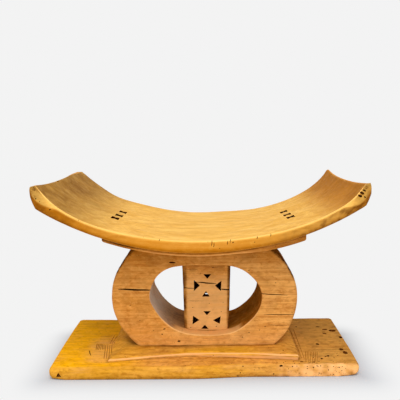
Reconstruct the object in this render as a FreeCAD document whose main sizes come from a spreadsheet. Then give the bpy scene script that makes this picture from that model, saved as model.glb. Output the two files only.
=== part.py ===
import FreeCAD, Part
import math
import os
import re
import Sketcher

# A low carved stool: a scooped seat, a ring with a pierced hollow column in it, a step and a base.
# It is cut from one block, and each node here is one carved member, meeting the next face to face.
# Millimetres. The origin is the middle of the base's underside, X runs along the seat, +Z is up.

# Base board and the low step on it
base_sizes = {
    "base_width": 571.0,
    "base_depth": 228.0,
    "base_thickness": 23.5,
    "base_corner_radius": 15.0,
    "base_worn_corner_radius": 26.0,
    "base_top_round": 6.5,
    "base_foot_round": 2.0,
    "step_width": 358.0,
    "step_depth": 178.0,
    "step_waist": 7.0,
    "step_height": 13.0,
    "step_slope_drop": 5.5,
    "step_slope_width": 22.0,
}

# Ring: its outline is an ellipse, cut off flat on the step and curved under the seat
ring_sizes = {
    "ring_width": 355.0,
    "ring_depth": 110.0,
    "ring_height": 195.0,
    "ring_outline_overhang": 44.0,
    "ring_outline_drop": 2.0,
    "ring_offset": 4.0,
    "ring_side_wall": 70.5,
    "ring_crown_wall": 36.5,
    "ring_foot_wall": 19.0,
    "ring_edge_round": 2.0,
    "hole_offset": 6.0,
    "side_joint_inset": 27.0,
}

# Hollow column that stands inside the ring
column_sizes = {
    "column_width": 88.0,
    "column_depth": 68.0,
    "column_wall": 15.5,
    "column_corner_round": 3.5,
    "column_offset": 7.0,
    "piercing_offset": 9.0,
}

# Ledge under the seat, and the seat
seat_sizes = {
    "ledge_width": 354.0,
    "ledge_depth": 256.0,
    "ledge_thickness": 11.0,
    "ledge_edge_round": 2.0,
    "seat_width": 560.0,
    "seat_depth": 306.0,
    "seat_thickness": 22.3,
    "seat_end_thickness": 38.7,
    "scoop_depth": 127.0,
    "end_hollow": 5.0,
    "end_bulge": 4.5,
    "end_lean": 2.5,
    "seat_rim_round": 4.0,
    "seat_lower_round": 7.0,
    "slot_offset": 163.5,
    "slot_length": 14.0,
    "slot_width": 15.0,
    "slot_neck": 4.0,
    "slot_spacing": 35.0,
    "slot_depth": 9.0,
    "left_slots_forward": 10.0,
    "right_slots_forward": 25.0,
    "cut_overrun": 12.0,
}

# Shares: the scoop's half width as a share of the seat's, the hole's round shoulders as a share of
# its height, and the piercings as shares of the cells that they stand in
shares = {
    "scoop_reach_share": 1.0286,
    "hole_shoulder_share": 0.444,
    "cell_width_share": 0.95,
    "cell_height_share": 0.16,
    "cell_spacing_share": 0.505,
    "cell_drop_share": 0.08,
    "lower_cell_share": 0.79,
    "side_base_share": 0.47,
    "side_tip_share": 0.58,
    "end_base_share": 0.27,
    "end_tip_share": 0.6,
}
hair_share = 0.01
slot_count = 3
full_turn = 360

sizes = {**base_sizes, **ring_sizes, **column_sizes, **seat_sizes, **shares}

doc = FreeCAD.newDocument("CarvedStool")
sheet = doc.addObject("Spreadsheet::Sheet", "Sizes")
for row, (alias, value) in enumerate(sizes.items(), start=1):
    sheet.set(f"A{row}", alias)
    sheet.set(f"B{row}", str(value))
    sheet.setAlias(f"B{row}", alias)
doc.recompute()


def in_sheet(formula):
    return re.sub(r"[a-z_]+", lambda word: "Sizes." + word[0] if word[0] in sizes else word[0], formula)


def worked_out(formula):
    return float(sheet.evalExpression(in_sheet(formula)))


def bind(item, **formulas):
    for name, formula in formulas.items():
        item.setExpression(name.replace("__", "."), in_sheet(formula))


# Heights, from the floor up, and the other lines that several members share
step_top = "(base_thickness + step_height)"
ring_top = f"({step_top} + ring_height)"
ring_middle = f"({step_top} + ring_height / 2)"
hole_height = "(ring_height - ring_crown_wall - ring_foot_wall)"
hole_width = "(ring_width - 2 * ring_side_wall)"
hole_middle = f"({step_top} + ring_foot_wall + {hole_height} / 2)"
underside_low = f"({ring_top} + ledge_thickness)"
seat_low = f"({underside_low} + seat_thickness)"
scoop_centre = f"({seat_low} + scoop_depth)"
scoop_half = "(seat_width / 2 * scoop_reach_share)"


def scoop_height(across):
    return f"({scoop_centre} - scoop_depth * sqrt(1 - ({across} / {scoop_half})^2))"


# The seat's underside is one round sweep, from its middle up to the ends' thickness below their tips
seat_tip = "(seat_width / 2)"
tip_height = scoop_height(seat_tip)
underside_rise = f"({tip_height} - seat_end_thickness - {underside_low})"
underside_radius = f"(({seat_tip}^2 + {underside_rise}^2) / (2 * {underside_rise}))"
underside_centre = f"({underside_low} + {underside_radius})"


def arc_height(across, radius):
    return f"({underside_centre} - sqrt({radius}^2 - ({across})^2))"


def new_body(label):
    body = doc.addObject("PartDesign::Body", label)
    body.Label = label
    return body


def new_sketch(body, role, name):
    plane = next(item for item in body.Origin.OriginFeatures if item.Role == role)
    sketch = body.newObject("Sketcher::SketchObject", name)
    sketch.AttachmentSupport = (plane, "")
    sketch.MapMode = "FlatFace"
    return sketch


def dimension(sketch, name, constraint, formula):
    index = sketch.addConstraint(constraint)
    sketch.renameConstraint(index, name)
    sketch.setExpression("Constraints." + name, in_sheet(formula))


def pin(sketch, name, edge, end, across, up):
    """Hold one end of an edge at a place measured from the sketch's origin."""
    for way, formula in (("X", across), ("Y", up)):
        rule = Sketcher.Constraint("Distance" + way, -1, 1, edge, end, worked_out(formula))
        dimension(sketch, name + way, rule, formula)


def closed_outline(sketch, name, corners, bends=None):
    """Join pinned corners by lines, or by an arc where bends gives {side: (radius, turn)}.

    Turn is 1 for an arc that runs anticlockwise from its first corner, and -1 for clockwise."""
    bends = bends or {}
    places = [FreeCAD.Vector(worked_out(across), worked_out(up), 0) for across, up in corners]
    edges = []
    for side, start in enumerate(places):
        finish = places[(side + 1) % len(places)]
        if side in bends:
            formula, turn = bends[side]
            radius = worked_out(formula)
            half = (finish - start) * 0.5
            reach = math.sqrt(radius ** 2 - half.Length ** 2)
            normal = FreeCAD.Vector(-half.y, half.x, 0).normalize()
            centre = start + half + normal * reach * turn
            first = math.atan2(start.y - centre.y, start.x - centre.x)
            last = math.atan2(finish.y - centre.y, finish.x - centre.x)
            circle = Part.Circle(centre, FreeCAD.Vector(0, 0, 1), radius)
            sweep = (first, last) if turn > 0 else (last, first)
            edge = sketch.addGeometry(Part.ArcOfCircle(circle, *sweep), False)
            ends = (1, 2) if turn > 0 else (2, 1)
            rule = Sketcher.Constraint("Radius", edge, radius)
            dimension(sketch, f"{name}Radius{side}", rule, formula)
        else:
            edge = sketch.addGeometry(Part.LineSegment(start, finish), False)
            ends = (1, 2)
        edges.append((edge, ends))
    for side, (edge, ends) in enumerate(edges):
        before, before_ends = edges[side - 1]
        sketch.addConstraint(Sketcher.Constraint("Coincident", before, before_ends[1], edge, ends[0]))
        across, up = corners[side]
        pin(sketch, f"{name}{side}", edge, ends[0], across, up)


def rectangle(middle, half_x, half_y):
    signs = (("-", "-"), ("+", "-"), ("+", "+"), ("-", "+"))
    return [(f"{middle} {sign_x} {half_x}", f"0 {sign_y} {half_y}") for sign_x, sign_y in signs]


def ellipse(sketch, name, across, up, width, height):
    centre = FreeCAD.Vector(worked_out(across), worked_out(up), 0)
    half_width = worked_out(width) / 2
    half_height = worked_out(height) / 2
    curve = sketch.addGeometry(Part.Ellipse(centre, half_width, half_height), False)
    sketch.exposeInternalGeometry(curve)
    long_axis = curve + 1
    short_axis = curve + 2
    sketch.addConstraint(Sketcher.Constraint("Horizontal", long_axis))
    width_rule = Sketcher.Constraint("Distance", long_axis, 2 * half_width)
    height_rule = Sketcher.Constraint("Distance", short_axis, 2 * half_height)
    dimension(sketch, name + "Width", width_rule, width)
    dimension(sketch, name + "Height", height_rule, height)
    pin(sketch, name + "Centre", curve, 3, across, up)


def pad(body, sketch, name, length, both_ways=False):
    feature = body.newObject("PartDesign::Pad", name)
    feature.Profile = sketch
    feature.SideType = "Symmetric" if both_ways else "One side"
    bind(feature, Length=length)
    doc.recompute()
    return feature


def pocket(body, sketch, name, both_ways=False, upwards=False):
    before = body.Tip.Shape.Volume
    feature = body.newObject("PartDesign::Pocket", name)
    feature.Profile = sketch
    feature.Type = "ThroughAll"
    feature.SideType = "Symmetric" if both_ways else "One side"
    feature.Reversed = upwards
    doc.recompute()
    assert feature.Shape.Volume < before, name + " cuts nothing"
    return feature


def rounded(body, name, radius, wanted):
    """Round the edges of the body's newest feature that wanted() picks."""
    base = body.Tip
    edges = [f"Edge{i}" for i, edge in enumerate(base.Shape.Edges, start=1) if wanted(edge)]
    feature = body.newObject("PartDesign::Fillet", name)
    feature.Base = (base, edges)
    bind(feature, Radius=radius)
    doc.recompute()
    return feature


def lies_at(edge, axis, place):
    """True where the whole edge lies in the plane that crosses the axis at place."""
    low = getattr(edge.BoundBox, axis + "Min")
    high = getattr(edge.BoundBox, axis + "Max")
    tolerance = sizes["base_foot_round"] * hair_share
    return abs(low - place) < tolerance and abs(high - place) < tolerance


def is_upright(edge):
    box = edge.BoundBox
    return box.ZLength > max(box.XLength, box.YLength)


def make_base_board():
    body = new_body("base_board")
    sketch = new_sketch(body, "XY_Plane", "BaseOutline")
    half_x, half_y = "base_width / 2", "base_depth / 2"
    closed_outline(sketch, "Base", rectangle("0", half_x, half_y))
    pad(body, sketch, "BaseSlab", "base_thickness")
    half_width, half_depth = worked_out(half_x), worked_out(half_y)

    def is_worn_corner(edge):
        return lies_at(edge, "X", half_width) and lies_at(edge, "Y", -half_depth)

    def is_corner(edge):
        on_end = lies_at(edge, "X", half_width) or lies_at(edge, "X", -half_width)
        return on_end and (lies_at(edge, "Y", half_depth) or lies_at(edge, "Y", -half_depth))

    rounded(body, "BaseWornCorner", "base_worn_corner_radius", is_worn_corner)
    rounded(body, "BaseCorners", "base_corner_radius", is_corner)
    top = worked_out("base_thickness")
    rounded(body, "BaseTopEdge", "base_top_round", lambda edge: lies_at(edge, "Z", top))
    rounded(body, "BaseFootEdge", "base_foot_round", lambda edge: lies_at(edge, "Z", 0))
    return body


def make_step():
    """The low step is drawn in a little at its middle, and its top slopes off to a thin edge."""
    body = new_body("plinth_step")
    sketch = new_sketch(body, "XY_Plane", "StepOutline")
    bind(sketch, AttachmentOffset__Base__z="base_thickness")
    half_x, half_y = "step_width / 2", "step_depth / 2"
    sweep_radius = f"(({half_x})^2 + step_waist^2) / (2 * step_waist)"
    bends = {0: (sweep_radius, -1), 2: (sweep_radius, -1)}
    closed_outline(sketch, "Step", rectangle("0", half_x, half_y), bends)
    slab = pad(body, sketch, "StepSlab", "step_height")
    top = worked_out(step_top)
    rim = [f"Edge{i}" for i, edge in enumerate(slab.Shape.Edges, start=1) if lies_at(edge, "Z", top)]
    slope = body.newObject("PartDesign::Chamfer", "StepSlope")
    slope.Base = (slab, rim)
    slope.ChamferType = "Two distances"
    slope.FlipDirection = True
    bind(slope, Size="step_slope_width", Size2="step_slope_drop")
    doc.recompute()
    return body


def hole_outline(sketch):
    """A flat ceiling, round shoulders, and sides that run into a shallow round floor."""
    half = f"({hole_width} / 2)"
    ceiling = f"({step_top} + ring_foot_wall + {hole_height})"
    shoulder = f"({hole_height} * hole_shoulder_share)"
    rise = f"({hole_height} - {shoulder})"
    side = f"({rise} * sqrt({rise} / {half}))"
    floor = f"((({half} - {side})^2 + {rise}^2 - {side}^2) / (2 * ({rise} - {side})))"
    flat = f"({half} - {shoulder})"
    widest = f"({ceiling} - {shoulder})"
    join_across = f"(({half} - {side}) * {floor} / ({floor} - {side}))"
    join_up = f"({widest} - {side} * ({floor} - {rise}) / ({floor} - {side}))"
    corners = [
        (f"hole_offset - {flat}", ceiling),
        (f"hole_offset - {half}", widest),
        (f"hole_offset - {join_across}", join_up),
        (f"hole_offset + {join_across}", join_up),
        (f"hole_offset + {half}", widest),
        (f"hole_offset + {flat}", ceiling),
    ]
    bends = {0: (shoulder, 1), 1: (side, 1), 2: (floor, 1), 3: (side, 1), 4: (shoulder, 1)}
    closed_outline(sketch, "Hole", corners, bends)


def make_ring_blank():
    body = new_body("ring_blank")
    sketch = new_sketch(body, "XZ_Plane", "RingOutline")
    outline_height = "(ring_height + 2 * ring_outline_overhang)"
    middle = f"{ring_middle} - ring_outline_drop"
    ellipse(sketch, "Outer", "ring_offset", middle, "ring_width", outline_height)
    hole_outline(sketch)
    pad(body, sketch, "RingSlab", "ring_depth", both_ways=True)

    # The ring's top is hollowed to the round of the ledge that lies on it
    above = new_sketch(body, "XZ_Plane", "LedgeRound")
    radius = f"({underside_radius} + ledge_thickness)"
    left = "(ring_offset - ring_width / 2 - cut_overrun)"
    right = "(ring_offset + ring_width / 2 + cut_overrun)"
    left_height, right_height = arc_height(left, radius), arc_height(right, radius)
    clear = f"({right_height} + ring_outline_overhang)"
    corners = [(left, left_height), (right, right_height), (right, clear), (left, clear)]
    closed_outline(above, "Ledge", corners, {0: (radius, 1)})
    pocket(body, above, "UnderLedge", both_ways=True)
    hollow = worked_out(radius)
    thin = sizes["ring_edge_round"]

    def is_free_edge(edge):
        under_ledge = abs(getattr(edge.Curve, "Radius", 0) - hollow) < thin
        return edge.BoundBox.YLength < thin and not under_ledge

    rounded(body, "RingEdges", "ring_edge_round", is_free_edge)
    return body


def combine(kind, name, base, tool):
    item = doc.addObject(kind, name)
    item.Base = base
    item.Tool = tool
    return item


def make_ring_members(blank):
    """The ring is parted at two upright planes: two limbs at its sides, a crown and a foot between."""
    reach = "(ring_depth / 2 + cut_overrun)"
    joint = f"({hole_width} / 2 - side_joint_inset)"
    half = "(ring_width / 2)"
    across = {
        "ring_left_limb": (f"ring_offset - {half} - cut_overrun", f"hole_offset - {joint}"),
        "ring_right_limb": (f"hole_offset + {joint}", f"ring_offset + {half} + cut_overrun"),
        "ring_crown": (f"hole_offset - {joint}", f"hole_offset + {joint}"),
        "ring_foot": (f"hole_offset - {joint}", f"hole_offset + {joint}"),
    }
    up = {
        "ring_left_limb": (step_top, f"{ring_top} + {half}"),
        "ring_right_limb": (step_top, f"{ring_top} + {half}"),
        "ring_crown": (hole_middle, f"{ring_top} + {half}"),
        "ring_foot": (step_top, hole_middle),
    }
    members = []
    for label, (left, right) in across.items():
        low, high = up[label]
        region = doc.addObject("Part::Box", label + "_region")
        bind(region, Length=f"{right} - ({left})", Width=f"2 * {reach}", Height=f"{high} - {low}")
        bind(region, Placement__Base__x=left, Placement__Base__y=f"-{reach}", Placement__Base__z=low)
        members.append(combine("Part::Common", label, blank, region))
    return members


def cell(middle_height, height_share):
    """Four triangles that point at their cell's middle, in shares of its half width and height."""
    wide = "((column_width / 2 - column_wall) * cell_width_share)"
    tall = f"({hole_height} * cell_height_share * {height_share})"
    triangles = []
    for way in ("", "-"):
        rim = f"{way}1"
        side = [(rim, "-side_base_share"), (rim, "side_base_share"), (f"{way}side_tip_share", "0")]
        end = [("-end_base_share", rim), ("end_base_share", rim), ("0", f"{way}end_tip_share")]
        triangles += [side, end]
    return [
        [(f"piercing_offset + {wide} * ({u})", f"{middle_height} + {tall} * ({w})")
         for u, w in triangle]
        for triangle in triangles
    ]


def make_column():
    body = new_body("column_blank")
    sketch = new_sketch(body, "XY_Plane", "ColumnOutline")
    bind(sketch, AttachmentOffset__Base__z=f"{step_top}")
    for name, inset in (("Outer", "0"), ("Hollow", "column_wall")):
        half_x, half_y = f"(column_width / 2 - {inset})", f"(column_depth / 2 - {inset})"
        closed_outline(sketch, name, rectangle("column_offset", half_x, half_y))
    pad(body, sketch, "ColumnTube", "ring_height")
    outer = worked_out("column_depth / 2")
    rounded(
        body, "ColumnCorners", "column_corner_round",
        lambda edge: is_upright(edge) and (lies_at(edge, "Y", outer) or lies_at(edge, "Y", -outer)))
    pierced = new_sketch(body, "XZ_Plane", "Piercings")
    spread = f"({hole_height} * cell_spacing_share / 2)"
    middle = f"({hole_middle} - {hole_height} * cell_drop_share)"
    cells = {
        "Upper": cell(f"({middle} + {spread})", "1"),
        "Lower": cell(f"({middle} - {spread})", "lower_cell_share"),
    }
    for name, triangles in cells.items():
        for number, corners in enumerate(triangles):
            closed_outline(pierced, f"{name}{number}Corner", corners)
    pocket(body, pierced, "ColumnPiercings", both_ways=True)
    inside = new_body("column_height")
    profile = new_sketch(inside, "XZ_Plane", "HoleOutline")
    hole_outline(profile)
    pad(inside, profile, "HoleRod", "ring_depth", both_ways=True)
    return combine("Part::Common", "centre_column", body, inside)


def make_ledge():
    body = new_body("seat_ledge")
    sketch = new_sketch(body, "XZ_Plane", "LedgeOutline")
    left = "(ring_offset - ledge_width / 2)"
    right = "(ring_offset + ledge_width / 2)"
    outer = f"({underside_radius} + ledge_thickness)"
    corners = [
        (left, arc_height(left, outer)),
        (right, arc_height(right, outer)),
        (right, arc_height(right, underside_radius)),
        (left, arc_height(left, underside_radius)),
    ]
    closed_outline(sketch, "Ledge", corners, {0: (outer, 1), 2: (underside_radius, -1)})
    pad(body, sketch, "LedgeSlab", "ledge_depth", both_ways=True)
    upper = worked_out(arc_height(left, underside_radius))
    front = worked_out("ledge_depth / 2")
    low = worked_out(ring_top)

    def is_lower_rim(edge):
        on_face = lies_at(edge, "Y", front) or lies_at(edge, "Y", -front)
        return on_face and edge.BoundBox.ZMin < low + sizes["ledge_edge_round"] and edge.BoundBox.ZMax < upper

    rounded(body, "LedgeEdges", "ledge_edge_round", is_lower_rim)
    return body


def make_seat():
    body = new_body("seat")
    sketch = new_sketch(body, "XZ_Plane", "SeatOutline")
    far = f"({seat_tip} + cut_overrun)"
    far_height = arc_height(far, underside_radius)
    left = f"-{far}"
    corners = [(left, far_height), (far, far_height), (far, tip_height), (left, tip_height)]
    closed_outline(sketch, "Seat", corners, {0: (underside_radius, 1)})
    pad(body, sketch, "SeatSlab", "seat_depth", both_ways=True)

    scoop = new_sketch(body, "XZ_Plane", "ScoopOutline")
    ellipse(scoop, "Scoop", "0", scoop_centre, f"2 * {scoop_half}", "2 * scoop_depth")
    pocket(body, scoop, "Scoop", both_ways=True)

    # Each end is drawn in between its corners: the nose's outline turns about a far upright axis.
    sweep_radius = "((seat_depth / 2)^2 + end_hollow^2) / (2 * end_hollow)"
    upper = (f"({seat_tip} - end_hollow)", tip_height)
    lower_across = f"({seat_tip} - end_hollow + end_lean)"
    lower = (lower_across, arc_height(lower_across, underside_radius))
    chord = f"(end_lean^2 + ({upper[1]} - {lower[1]})^2)"
    nose_radius = f"({chord} / 4 + end_bulge^2) / (2 * end_bulge)"
    above = f"{tip_height} + cut_overrun"
    below = f"{far_height} - seat_thickness - cut_overrun"
    for name, way in (("Left", "-"), ("Right", "")):
        nose = new_sketch(body, "XZ_Plane", name + "NoseOutline")
        edge_x = f"{far} + cut_overrun"
        outline = [lower, (lower[0], below), (edge_x, below), (edge_x, above), (upper[0], above), upper]
        corners = [(f"{way}({across})", up) for across, up in outline]
        turn = 1 if way else -1
        closed_outline(nose, name, corners, {5: (nose_radius, turn)})
        axis_x = f"{way}({seat_tip} - end_hollow + {sweep_radius})"
        place = worked_out(axis_x)
        foot = FreeCAD.Vector(place, 0, 0)
        head = FreeCAD.Vector(place, worked_out(far_height), 0)
        axis = nose.addGeometry(Part.LineSegment(foot, head), True)
        pin(nose, name + "AxisFoot", axis, 1, axis_x, "0")
        pin(nose, name + "AxisHead", axis, 2, axis_x, far_height)
        before = body.Tip.Shape.Volume
        groove = body.newObject("PartDesign::Groove", name + "Nose")
        groove.Profile = nose
        groove.ReferenceAxis = (nose, ["Axis0"])
        groove.Angle = full_turn
        doc.recompute()
        assert groove.Shape.Volume < before, name + " nose cuts nothing"

    # Three blind bow-tie slots at each side, cut down into the scoop
    for name, way, forward in (("Left", "-", "left_slots_forward"), ("Right", "", "right_slots_forward")):
        slots = new_sketch(body, "XY_Plane", name + "SlotOutline")
        bind(slots, AttachmentOffset__Base__z=f"{scoop_height('slot_offset')} - slot_depth")
        for row in range(slot_count):
            middle = f"(slot_spacing * ({row} - ({slot_count} - 1) / 2) - {forward})"
            half_x, half_y, neck = "slot_length / 2", "slot_width / 2", "slot_neck / 2"
            outline = [(f"-{half_x}", f"-{half_y}"), ("0", f"-{neck}"), (half_x, f"-{half_y}")]
            outline += [(half_x, half_y), ("0", neck), (f"-{half_x}", half_y)]
            corners = [(f"{way}slot_offset + {u}", f"{middle} + {v}") for u, v in outline]
            closed_outline(slots, f"{name}{row}Slot", corners)
        pocket(body, slots, name + "Slots", upwards=True)
    return body


def round_seat(body):
    """The scoop's long rims are eased, and the long lower edges are rounded more."""
    front = worked_out("seat_depth / 2")
    halfway_up = worked_out(f"{underside_low} + seat_thickness / 2")

    def on_long_face(edge):
        return lies_at(edge, "Y", front) or lies_at(edge, "Y", -front)

    def is_long(edge):
        return on_long_face(edge) and edge.BoundBox.XLength > sizes["seat_width"] / 2

    rounded(
        body, "SeatLowerEdge", "seat_lower_round",
        lambda edge: is_long(edge) and edge.BoundBox.ZMin < halfway_up)
    rounded(
        body, "SeatRim", "seat_rim_round",
        lambda edge: is_long(edge) and edge.BoundBox.ZMin > halfway_up)


base = make_base_board()
step = make_step()
blank = make_ring_blank()
members = make_ring_members(blank)
column = make_column()
ledge = make_ledge()
seat = make_seat()
round_seat(seat)
nodes = [base, step, *members, column, ledge, seat]
doc.recompute()

# Nothing is written unless every object was made and every member is sound
for item in doc.Objects:
    assert not {"Invalid", "Error"} & set(item.State), f"{item.Label} failed: {item.State}"
for node in nodes:
    assert not node.Shape.isNull() and node.Shape.isValid(), node.Label + " is not sound"

os.makedirs("parts", exist_ok=True)
for node in nodes:
    node.Shape.exportStep(f"parts/{node.Label}.step")
    print(node.Label, len(node.Shape.Solids), "solid,", round(node.Shape.Volume), "cubic mm")
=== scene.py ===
import math
import random

import bpy
import numpy as np
from mathutils import Matrix, Vector, noise


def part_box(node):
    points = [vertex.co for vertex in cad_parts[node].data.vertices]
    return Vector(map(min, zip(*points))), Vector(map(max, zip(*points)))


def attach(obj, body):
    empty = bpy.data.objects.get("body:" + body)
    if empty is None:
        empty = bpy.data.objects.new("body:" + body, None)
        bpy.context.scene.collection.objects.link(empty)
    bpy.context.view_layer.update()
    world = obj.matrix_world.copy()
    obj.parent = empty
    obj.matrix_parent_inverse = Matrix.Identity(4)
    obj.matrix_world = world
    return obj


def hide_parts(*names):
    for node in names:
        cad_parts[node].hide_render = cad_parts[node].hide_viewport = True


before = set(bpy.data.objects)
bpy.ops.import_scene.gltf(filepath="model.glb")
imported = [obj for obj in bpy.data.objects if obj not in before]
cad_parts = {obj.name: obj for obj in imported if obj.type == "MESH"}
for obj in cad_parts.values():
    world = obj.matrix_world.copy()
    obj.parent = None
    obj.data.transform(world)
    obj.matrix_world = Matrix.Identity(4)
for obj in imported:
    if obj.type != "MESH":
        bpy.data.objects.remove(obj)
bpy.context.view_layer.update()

# Places are worked out in millimetres and written to the meshes in metres
mm = 0.001


def nodeBox(name):
    low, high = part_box(name)
    return np.array(low) / mm, np.array(high) / mm


baseLow, baseHigh = nodeBox("base_board")
stepLow, stepHigh = nodeBox("plinth_step")
leftLimbLow, leftLimbHigh = nodeBox("ring_left_limb")
rightLimbHigh = nodeBox("ring_right_limb")[1]
columnLow, columnHigh = nodeBox("centre_column")
ledgeLow, ledgeHigh = nodeBox("seat_ledge")
seatLow, seatHigh = nodeBox("seat")
print("frame loaded")


# Mesh helpers

def clearSelection():
    bpy.ops.object.select_all(action="DESELECT")


def makeActive(piece):
    clearSelection()
    piece.select_set(True)
    bpy.context.view_layer.objects.active = piece


def readPoints(piece):
    flat = np.zeros(len(piece.data.vertices) * 3)
    piece.data.vertices.foreach_get("co", flat)
    return flat.reshape(-1, 3)


def writePoints(piece, points):
    piece.data.vertices.foreach_set("co", np.ascontiguousarray(points).ravel())
    piece.data.update()


def smoothStep(value, low, high):
    share = np.clip((value - low) / (high - low), 0, 1)
    return share * share * (3 - 2 * share)


def wobble(points, wavelength, amount, seed):
    # a gentle random shift of every point, in mm
    shift = Vector((seed * 7.3, seed * 3.1, seed * 5.7))
    drift = [noise.noise_vector(Vector(p) / wavelength + shift) for p in points]
    return np.array(drift) * amount


def handCut(points, facts, driftWeights, rippleWeights=1.0):
    # the long drift and the short ripple that hand tools leave
    long, far = facts["drift"]
    short, near = facts["ripple"]
    drift = wobble(points, long, far, facts["seed"]) * driftWeights
    return points + drift + wobble(points, short, near, facts["seed"] + 1) * rippleWeights


def softNoise(points, wavelength, seed):
    shift = Vector((seed * 2.9, seed * 8.3, seed * 4.1))
    return np.array([noise.noise(Vector(p) / wavelength + shift) for p in points])


def keepInBox(points, low, high):
    return np.minimum(np.maximum(points, low), high)


def faceOutwards(piece):
    makeActive(piece)
    bpy.ops.object.mode_set(mode="EDIT")
    bpy.ops.mesh.select_all(action="SELECT")
    bpy.ops.mesh.normals_make_consistent(inside=False)
    bpy.ops.object.mode_set(mode="OBJECT")


def smoothShade(piece, degrees=38):
    makeActive(piece)
    bpy.ops.object.shade_smooth_by_angle(angle=math.radians(degrees))


def slabBlock(name, columns, rows, layers):
    # a grid is extruded once, and the upright edges are cut into layers
    clearSelection()
    bpy.ops.mesh.primitive_grid_add(x_subdivisions=columns, y_subdivisions=rows, size=2)
    piece = bpy.context.active_object
    piece.name = name
    piece.data.name = name
    bpy.ops.object.mode_set(mode="EDIT")
    bpy.ops.mesh.select_all(action="SELECT")
    bpy.ops.mesh.extrude_region_move(TRANSFORM_OT_translate={"value": (0, 0, 1)})
    bpy.ops.object.mode_set(mode="OBJECT")
    bpy.context.tool_settings.mesh_select_mode = (False, True, False)
    points = readPoints(piece)
    for kind in (piece.data.vertices, piece.data.polygons):
        kind.foreach_set("select", [False] * len(kind))
    for edge in piece.data.edges:
        low, high = (points[number][2] for number in edge.vertices)
        edge.select = bool(abs(high - low) > 0.5)
    bpy.ops.object.mode_set(mode="EDIT")
    bpy.ops.mesh.subdivide(number_cuts=layers - 1)
    bpy.ops.object.mode_set(mode="OBJECT")
    return piece


def gathered(place, rimRows, rows, rimShare):
    # the outermost rows crowd into a share of the half width
    inner = 1 - 2 * rimRows / rows
    size = np.abs(place)
    middle = size / inner * (1 - rimShare)
    rim = 1 - (1 - size) / (1 - inner) * rimShare
    return np.sign(place) * np.where(size < inner, middle, rim)


def roundPath(turn, flatness):
    # inset and drop of a rounded edge, as shares: turn 0 is the flat face, 1 is the wall
    angle = turn * math.pi / 2
    inset = (1 - np.sin(angle)) * (1 - flatness) + (1 - turn) * flatness
    drop = (1 - np.cos(angle)) * (1 - flatness) + turn * flatness
    return inset, drop


def roundedSlab(piece, form):
    # Turns a slab block into a board with rounded corners and edges.
    # form gives half sizes, rows, corner radius and the edge rounds, as numbers or functions
    # of the plan place and the outward direction.
    unit = readPoints(piece)
    halfX, halfY = form["half"]
    columns, rows, layers = form["cells"]
    rim = form["rimWidth"]
    rimRows = form["rimRows"]
    across = gathered(unit[:, 0], rimRows, columns, rim / halfX) * halfX
    along = gathered(unit[:, 1], rimRows, rows, rim / halfY) * halfY
    radius = form["corner"](across, along)
    overX = np.abs(across) - (halfX - radius)
    overY = np.abs(along) - (halfY - radius)
    inCorner = (overX > 0) & (overY > 0)
    reach = np.maximum(overX, overY)
    length = np.where(inCorner, np.hypot(overX, overY), 1)
    nearX = halfX - np.abs(across)
    nearY = halfY - np.abs(along)
    sideX = nearX < nearY
    wayX = np.where(inCorner, overX / length, sideX * 1.0)
    wayY = np.where(inCorner, overY / length, ~sideX * 1.0)
    planX = np.where(inCorner, halfX - radius + reach * wayX, np.abs(across))
    planY = np.where(inCorner, halfY - radius + reach * wayY, np.abs(along))
    depth = np.where(inCorner, radius - reach, np.minimum(nearX, nearY))
    signX = np.where(across < 0, -1.0, 1.0)
    signY = np.where(along < 0, -1.0, 1.0)
    way = np.stack([wayX * signX, wayY * signY], 1)
    plan = np.stack([planX * signX, planY * signY], 1)

    upIn, upDrop, upFlat = form["upper"](plan, way)
    lowIn, lowRise, lowFlat = form["lower"](plan, way)
    layer = np.round(unit[:, 2] * layers)
    lowRows, upRows = form["edgeRows"]
    share = np.clip(1 - depth / rim, 0, 1)
    onTop = layer == layers
    onFoot = layer == 0
    isUpper = layer >= layers - upRows
    isLower = layer <= lowRows
    upTurn = np.where(onTop, share / 2, 0.5 + (layers - layer) / upRows / 2)
    lowTurn = np.where(onFoot, share / 2, 0.5 + layer / lowRows / 2)
    upTurn = np.clip(upTurn, 0, 1)
    lowTurn = np.clip(lowTurn, 0, 1)
    inUp, dropUp = roundPath(upTurn, upFlat)
    inLow, riseLow = roundPath(lowTurn, lowFlat)
    inset = np.where(isUpper, inUp * upIn, np.where(isLower, inLow * lowIn, 0))
    # behind the rim the rows close up to the round's inner end
    halfway = min(halfX, halfY)
    fade = np.clip(1 - (depth - rim) / (halfway - rim), 0, 1)
    inner = np.where(onTop, upIn, lowIn)
    flatInset = depth + (inner - rim) * fade
    onFlat = (onTop | onFoot) & (depth > rim)
    inset = np.where(onFlat, flatInset, inset)
    plan = plan + way * (depth - inset)[:, None]

    wallShare = np.clip((layer - lowRows) / (layers - lowRows - upRows), 0, 1)

    def heights(spots):
        floor = form["floor"](spots)
        ceiling = form["ceiling"](spots)
        wallLow = floor + lowRise
        wallHigh = ceiling - upDrop
        height = wallLow + (wallHigh - wallLow) * wallShare
        height = np.where(isUpper, ceiling - dropUp * upDrop * ~onFlat, height)
        height = np.where(isLower, floor + riseLow * lowRise * ~onFlat, height)
        return height, np.clip((height - floor) / (ceiling - floor), 0, 1)

    height, full = heights(plan)
    if "bend" in form:
        plan = form["bend"](plan, full)
        height, full = heights(plan)
    return np.column_stack([plan, height]), full


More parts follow.
